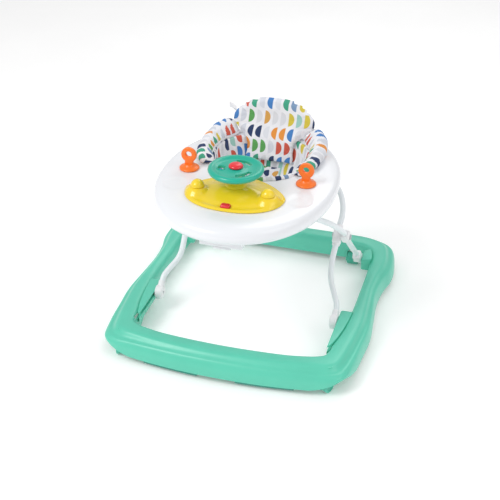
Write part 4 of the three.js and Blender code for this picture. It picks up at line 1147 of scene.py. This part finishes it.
def add_wing(side):
    spine = [(a + b) / 2 for a, b in zip(WING_INNER, WING_OUTER)]
    section = [Vector((a, b, 0)) for a, b in WING_SECTION]

    def place(u, v):
        inner, outer = curve_point(WING_INNER, v), curve_point(WING_OUTER, v)
        crest = curve_point(WING_CREST, v).x
        swell = max(0.03, 1 - abs(2 * v - 1) ** (12 if v < 0.5 else 6)) ** 0.5
        spot = curve_point(section, u % 1, True)
        share = 0.5 + (spot.x - 0.5) * (0.55 + 0.45 * swell)
        flat = inner.lerp(outer, share)
        return (side * flat.x, flat.y, 404 + (crest - 3 - 404) * spot.y * swell)
    wing = laid_over(52, 44, place)
    close_holes(wing)
    wing = stuffed(wing, 4, 5, 3.5)
    stations = [curve_point(spine, k / 80) for k in range(81)]
    lengths = [0]
    for a, b in zip(stations, stations[1:]):
        lengths.append(lengths[-1] + (b - a).length)

    def along(p):
        spot = Vector((side * p.x, p.y, 0))
        nearest = min(range(81), key=lambda k: (Vector((stations[k].x, stations[k].y, 0)) - spot).length)
        across = curve_point(WING_OUTER, nearest / 80) - curve_point(WING_INNER, nearest / 80)
        offset = spot - Vector((stations[nearest].x, stations[nearest].y, 0))
        return nearest, offset.dot(across.normalized())
    for vert in wing.data.vertices:
        p = vert.co / MM
        nearest, off = along(p)
        s = lengths[nearest]
        centre = Vector((side * stations[nearest].x, stations[nearest].y, 413))
        away = p - centre
        reach = max(away.length, 1)
        wave = noise.noise(Vector((s * 0.05, off * 0.1, side * 2.0)))
        fold = 0.9 * abs(math.sin(s * 0.13 + 1.4 * wave)) ** 3
        fold += 0.7 * noise.noise(Vector((s * 0.06, off * 0.12, 5)))
        vert.co = (p - away / reach * fold * 1.5) * MM
    for vert in wing.data.vertices:
        p = vert.co / MM
        reach = Vector(((abs(p.x) - OPENING[0]) / OPENING[2], (p.y - OPENING[1]) / OPENING[3], 0)).length
        vert.co.z = max(p.z, 398 + 4.6 * smoothstep(0.9, 0.97, reach)) * MM

    def flat(p, n):
        nearest, off = along(p)
        around = math.atan2(p.z - 411, off) * 15
        return lengths[nearest] + 3 * side, around + 9
    lay_print(wing, flat)
    done(wing, f"padded_wing_{SIDES[side]}", "tray", CLOTH, f"seat_wing_{SIDES[side]}", 180)


def add_skirt():
    """The cloth that lines the opening, gathered on a cord under the rim and let down to the sling."""
    rows, thick = 24, 1.4

    def ripple(angle, share):
        """Gathers of the cloth, deeper towards the front."""
        front = smoothstep(0.1, 0.9, -math.sin(angle))
        fold = math.sin(angle * 26 + 3 * noise.noise(Vector((math.cos(angle) * 3, math.sin(angle) * 3, 1))))
        return (1.5 * fold + 1.6 * noise.noise(Vector((math.cos(angle) * 9, math.sin(angle) * 9, share * 4)))) * (
            0.25 + 0.75 * share) * (0.7 + 0.6 * front)

    def place(u, v):
        angle = 2 * PI * (u % 1)
        k = round(v * (2 * rows + 2)) % (2 * rows + 2)
        inner_face = k <= rows
        share = k / rows if inner_face else (2 * rows + 1 - k) / rows
        front = smoothstep(0.2, 0.85, -math.sin(angle))
        edge = oval(OPENING, angle)
        foot = [(1.8, 400.5), (2.6, 402.6), (5.0, 402.8), (7.4, 400), (9, 392), (13, 368), (18, 334)]
        # over the front edge the cloth rolls up onto the tray before it drops
        rolled = [(-7, 403.4), (-3, 406.6), (3.2, 407), (7.6, 402), (10, 391), (15, 366), (20, 334)]
        points = [oval(OPENING, angle, a + (c - a) * front) + Vector((0, 0, b + (d - b) * front))
                  for (a, b), (c, d) in zip(foot, rolled)]
        below = [oval(OPENING, angle, inset) + Vector((0, 0, z)) for inset, z in
                 ((1.8, 400.5), (2.6, 402.6), (5, 402.8), (9, 398), (15, 374), (26, 334), (46, 290))]
        rear = smoothstep(0.25, 0.8, math.sin(angle))  # under the back it reaches down to the strap
        points = [a.lerp(b, rear) for a, b in zip(points, below)]
        spot = curve_point(points, share)
        inwards = (Vector((OPENING[0], OPENING[1], 0)) - edge).normalized()
        spot += inwards * (ripple(angle, share) - (0 if inner_face else thick))
        if share < 0.45 and not inner_face:
            spot.z -= thick * 0.6
        return spot
    skirt = laid_over(220, 2 * rows + 2, place)
    lay_print(skirt, lambda p, n: (math.atan2(p.y - OPENING[1], p.x) * 115, 12 + (404 - p.z) + 0.35 * p.y))
    done(skirt, "seat_lining", "tray", CLOTH, "seat_skirt", 180)
    return skirt


def add_sling():
    """A strap of the same cloth from front to back, narrow between the legs."""
    # half width, place and height along its middle, from the front to the back
    spine = [Vector(p) for p in ((88, -54, 330), (66, -42, 288), (46, -12, 252), (44, 30, 241.5),
                                 (60, 76, 252), (84, 108, 288), (94, 122, 330))]
    across, along = 36, 60

    def place(u, v):
        k = round(u * (2 * across + 2)) % (2 * across + 2)
        upper = k <= across
        share = k / across if upper else (2 * across + 1 - k) / across
        point = curve_point(spine, v)
        ahead = curve_point(spine, min(v + 0.01, 1)) - curve_point(spine, max(v - 0.01, 0))
        out = Vector((0, ahead.z, -ahead.y)).normalized()
        x = point.x * (2 * share - 1)
        sag = 5 * (1 - (2 * share - 1) ** 2) * math.sin(PI * v)
        crumple = 1.4 * noise.noise(Vector((x * 0.05, v * 9, 2))) + 0.8 * math.sin(x * 0.22 + 5 * v)
        lift = sag + crumple - (0 if upper else 1.5)
        rise = abs(out.z) * (crumple * 0.6 + (0 if upper else -1.5))
        return x, point.y - out.y * lift * 0.5, point.z + rise + 3 * (2 * share - 1) ** 2
    sling = laid_over(2 * across + 2, along, place, uv=lambda u, v: (
        (0.16 * u * 2 if u <= 0.5 else 0.16 * (2 - 2 * u)), 0.34 * v))
    close_holes(sling)
    done(sling, "seat_strap", "tray", CLOTH, "seat_sling", 180)
    return sling


def add_tag():
    """A blank care tag sewn to the left edge of the back."""
    def place(u, v):
        k = round(v * 9) % 10
        rise = k / 4 if k <= 4 else (9 - k) / 4
        return (-99 - 18 * u, 168 + 3 * math.sin(2.4 * u) + (0.5 if k > 4 else 0), 447 + 8 * u + 14 * rise)
    tag = laid_over(8, 9, place)
    close_holes(tag)
    done(tag, "care_tag", "tray", FITTING, (), 180)
    return tag


def add_floor():
    bpy.ops.mesh.primitive_plane_add(size=12)
    floor = bpy.context.object
    floor.name = "floor"
    n = Nodes("floor_paper")
    place = n.add("TexCoord").outputs["Object"]
    n.finish(Base_Color=n.mix(n.spread(n.noise(place, 2, 2), 0, 1), linear("FBFBFB"), linear("FFFFFF")),
             Roughness=n.spread(n.noise(place, 30, 2), 0.6, 0.8))
    n.shader.inputs["Emission Color"].default_value = (1, 1, 1, 1)
    n.shader.inputs["Emission Strength"].default_value = 0.14  # a lit sweep, nearly white
    floor.data.materials.append(n.material)


# ---- The whole walker ---------------------------------------------------------------------

add_base()
add_grip_strips()
add_leg_frames()
add_tray()
add_channel()
add_clamps_and_clips()
add_station()
add_wheel()
add_electronics()
add_seat_back()
for side in SIDES:
    add_slide_track(side)
    add_pivot_bracket(side)
    add_caster(side)
    add_rear_wheel(side)
    add_crossing(side)
    add_rear_leg_end(side)
    add_foot(side)
    add_toy_loop(side)
    add_wing(side)
    axle = frame["nodes"][f"rear_axle_{SIDES[side]}"]
    axle.data.materials.clear()
    axle.data.materials.append(STEEL[0])
lining = add_skirt()
strap = add_sling()
add_tag()

add_floor()
add_camera()
add_area_light((-1.4, -1.6, 2.3), (0, 0, 0.2), 1.2, 34)
add_area_light((1.8, -0.6, 1.8), (0, 0, 0.2), 1.6, 10)
add_area_light((0.2, 1.9, 2.2), (0, 0, 0.2), 1.4, 12)
add_world()
bpy.context.scene.view_settings.view_transform = "Standard"
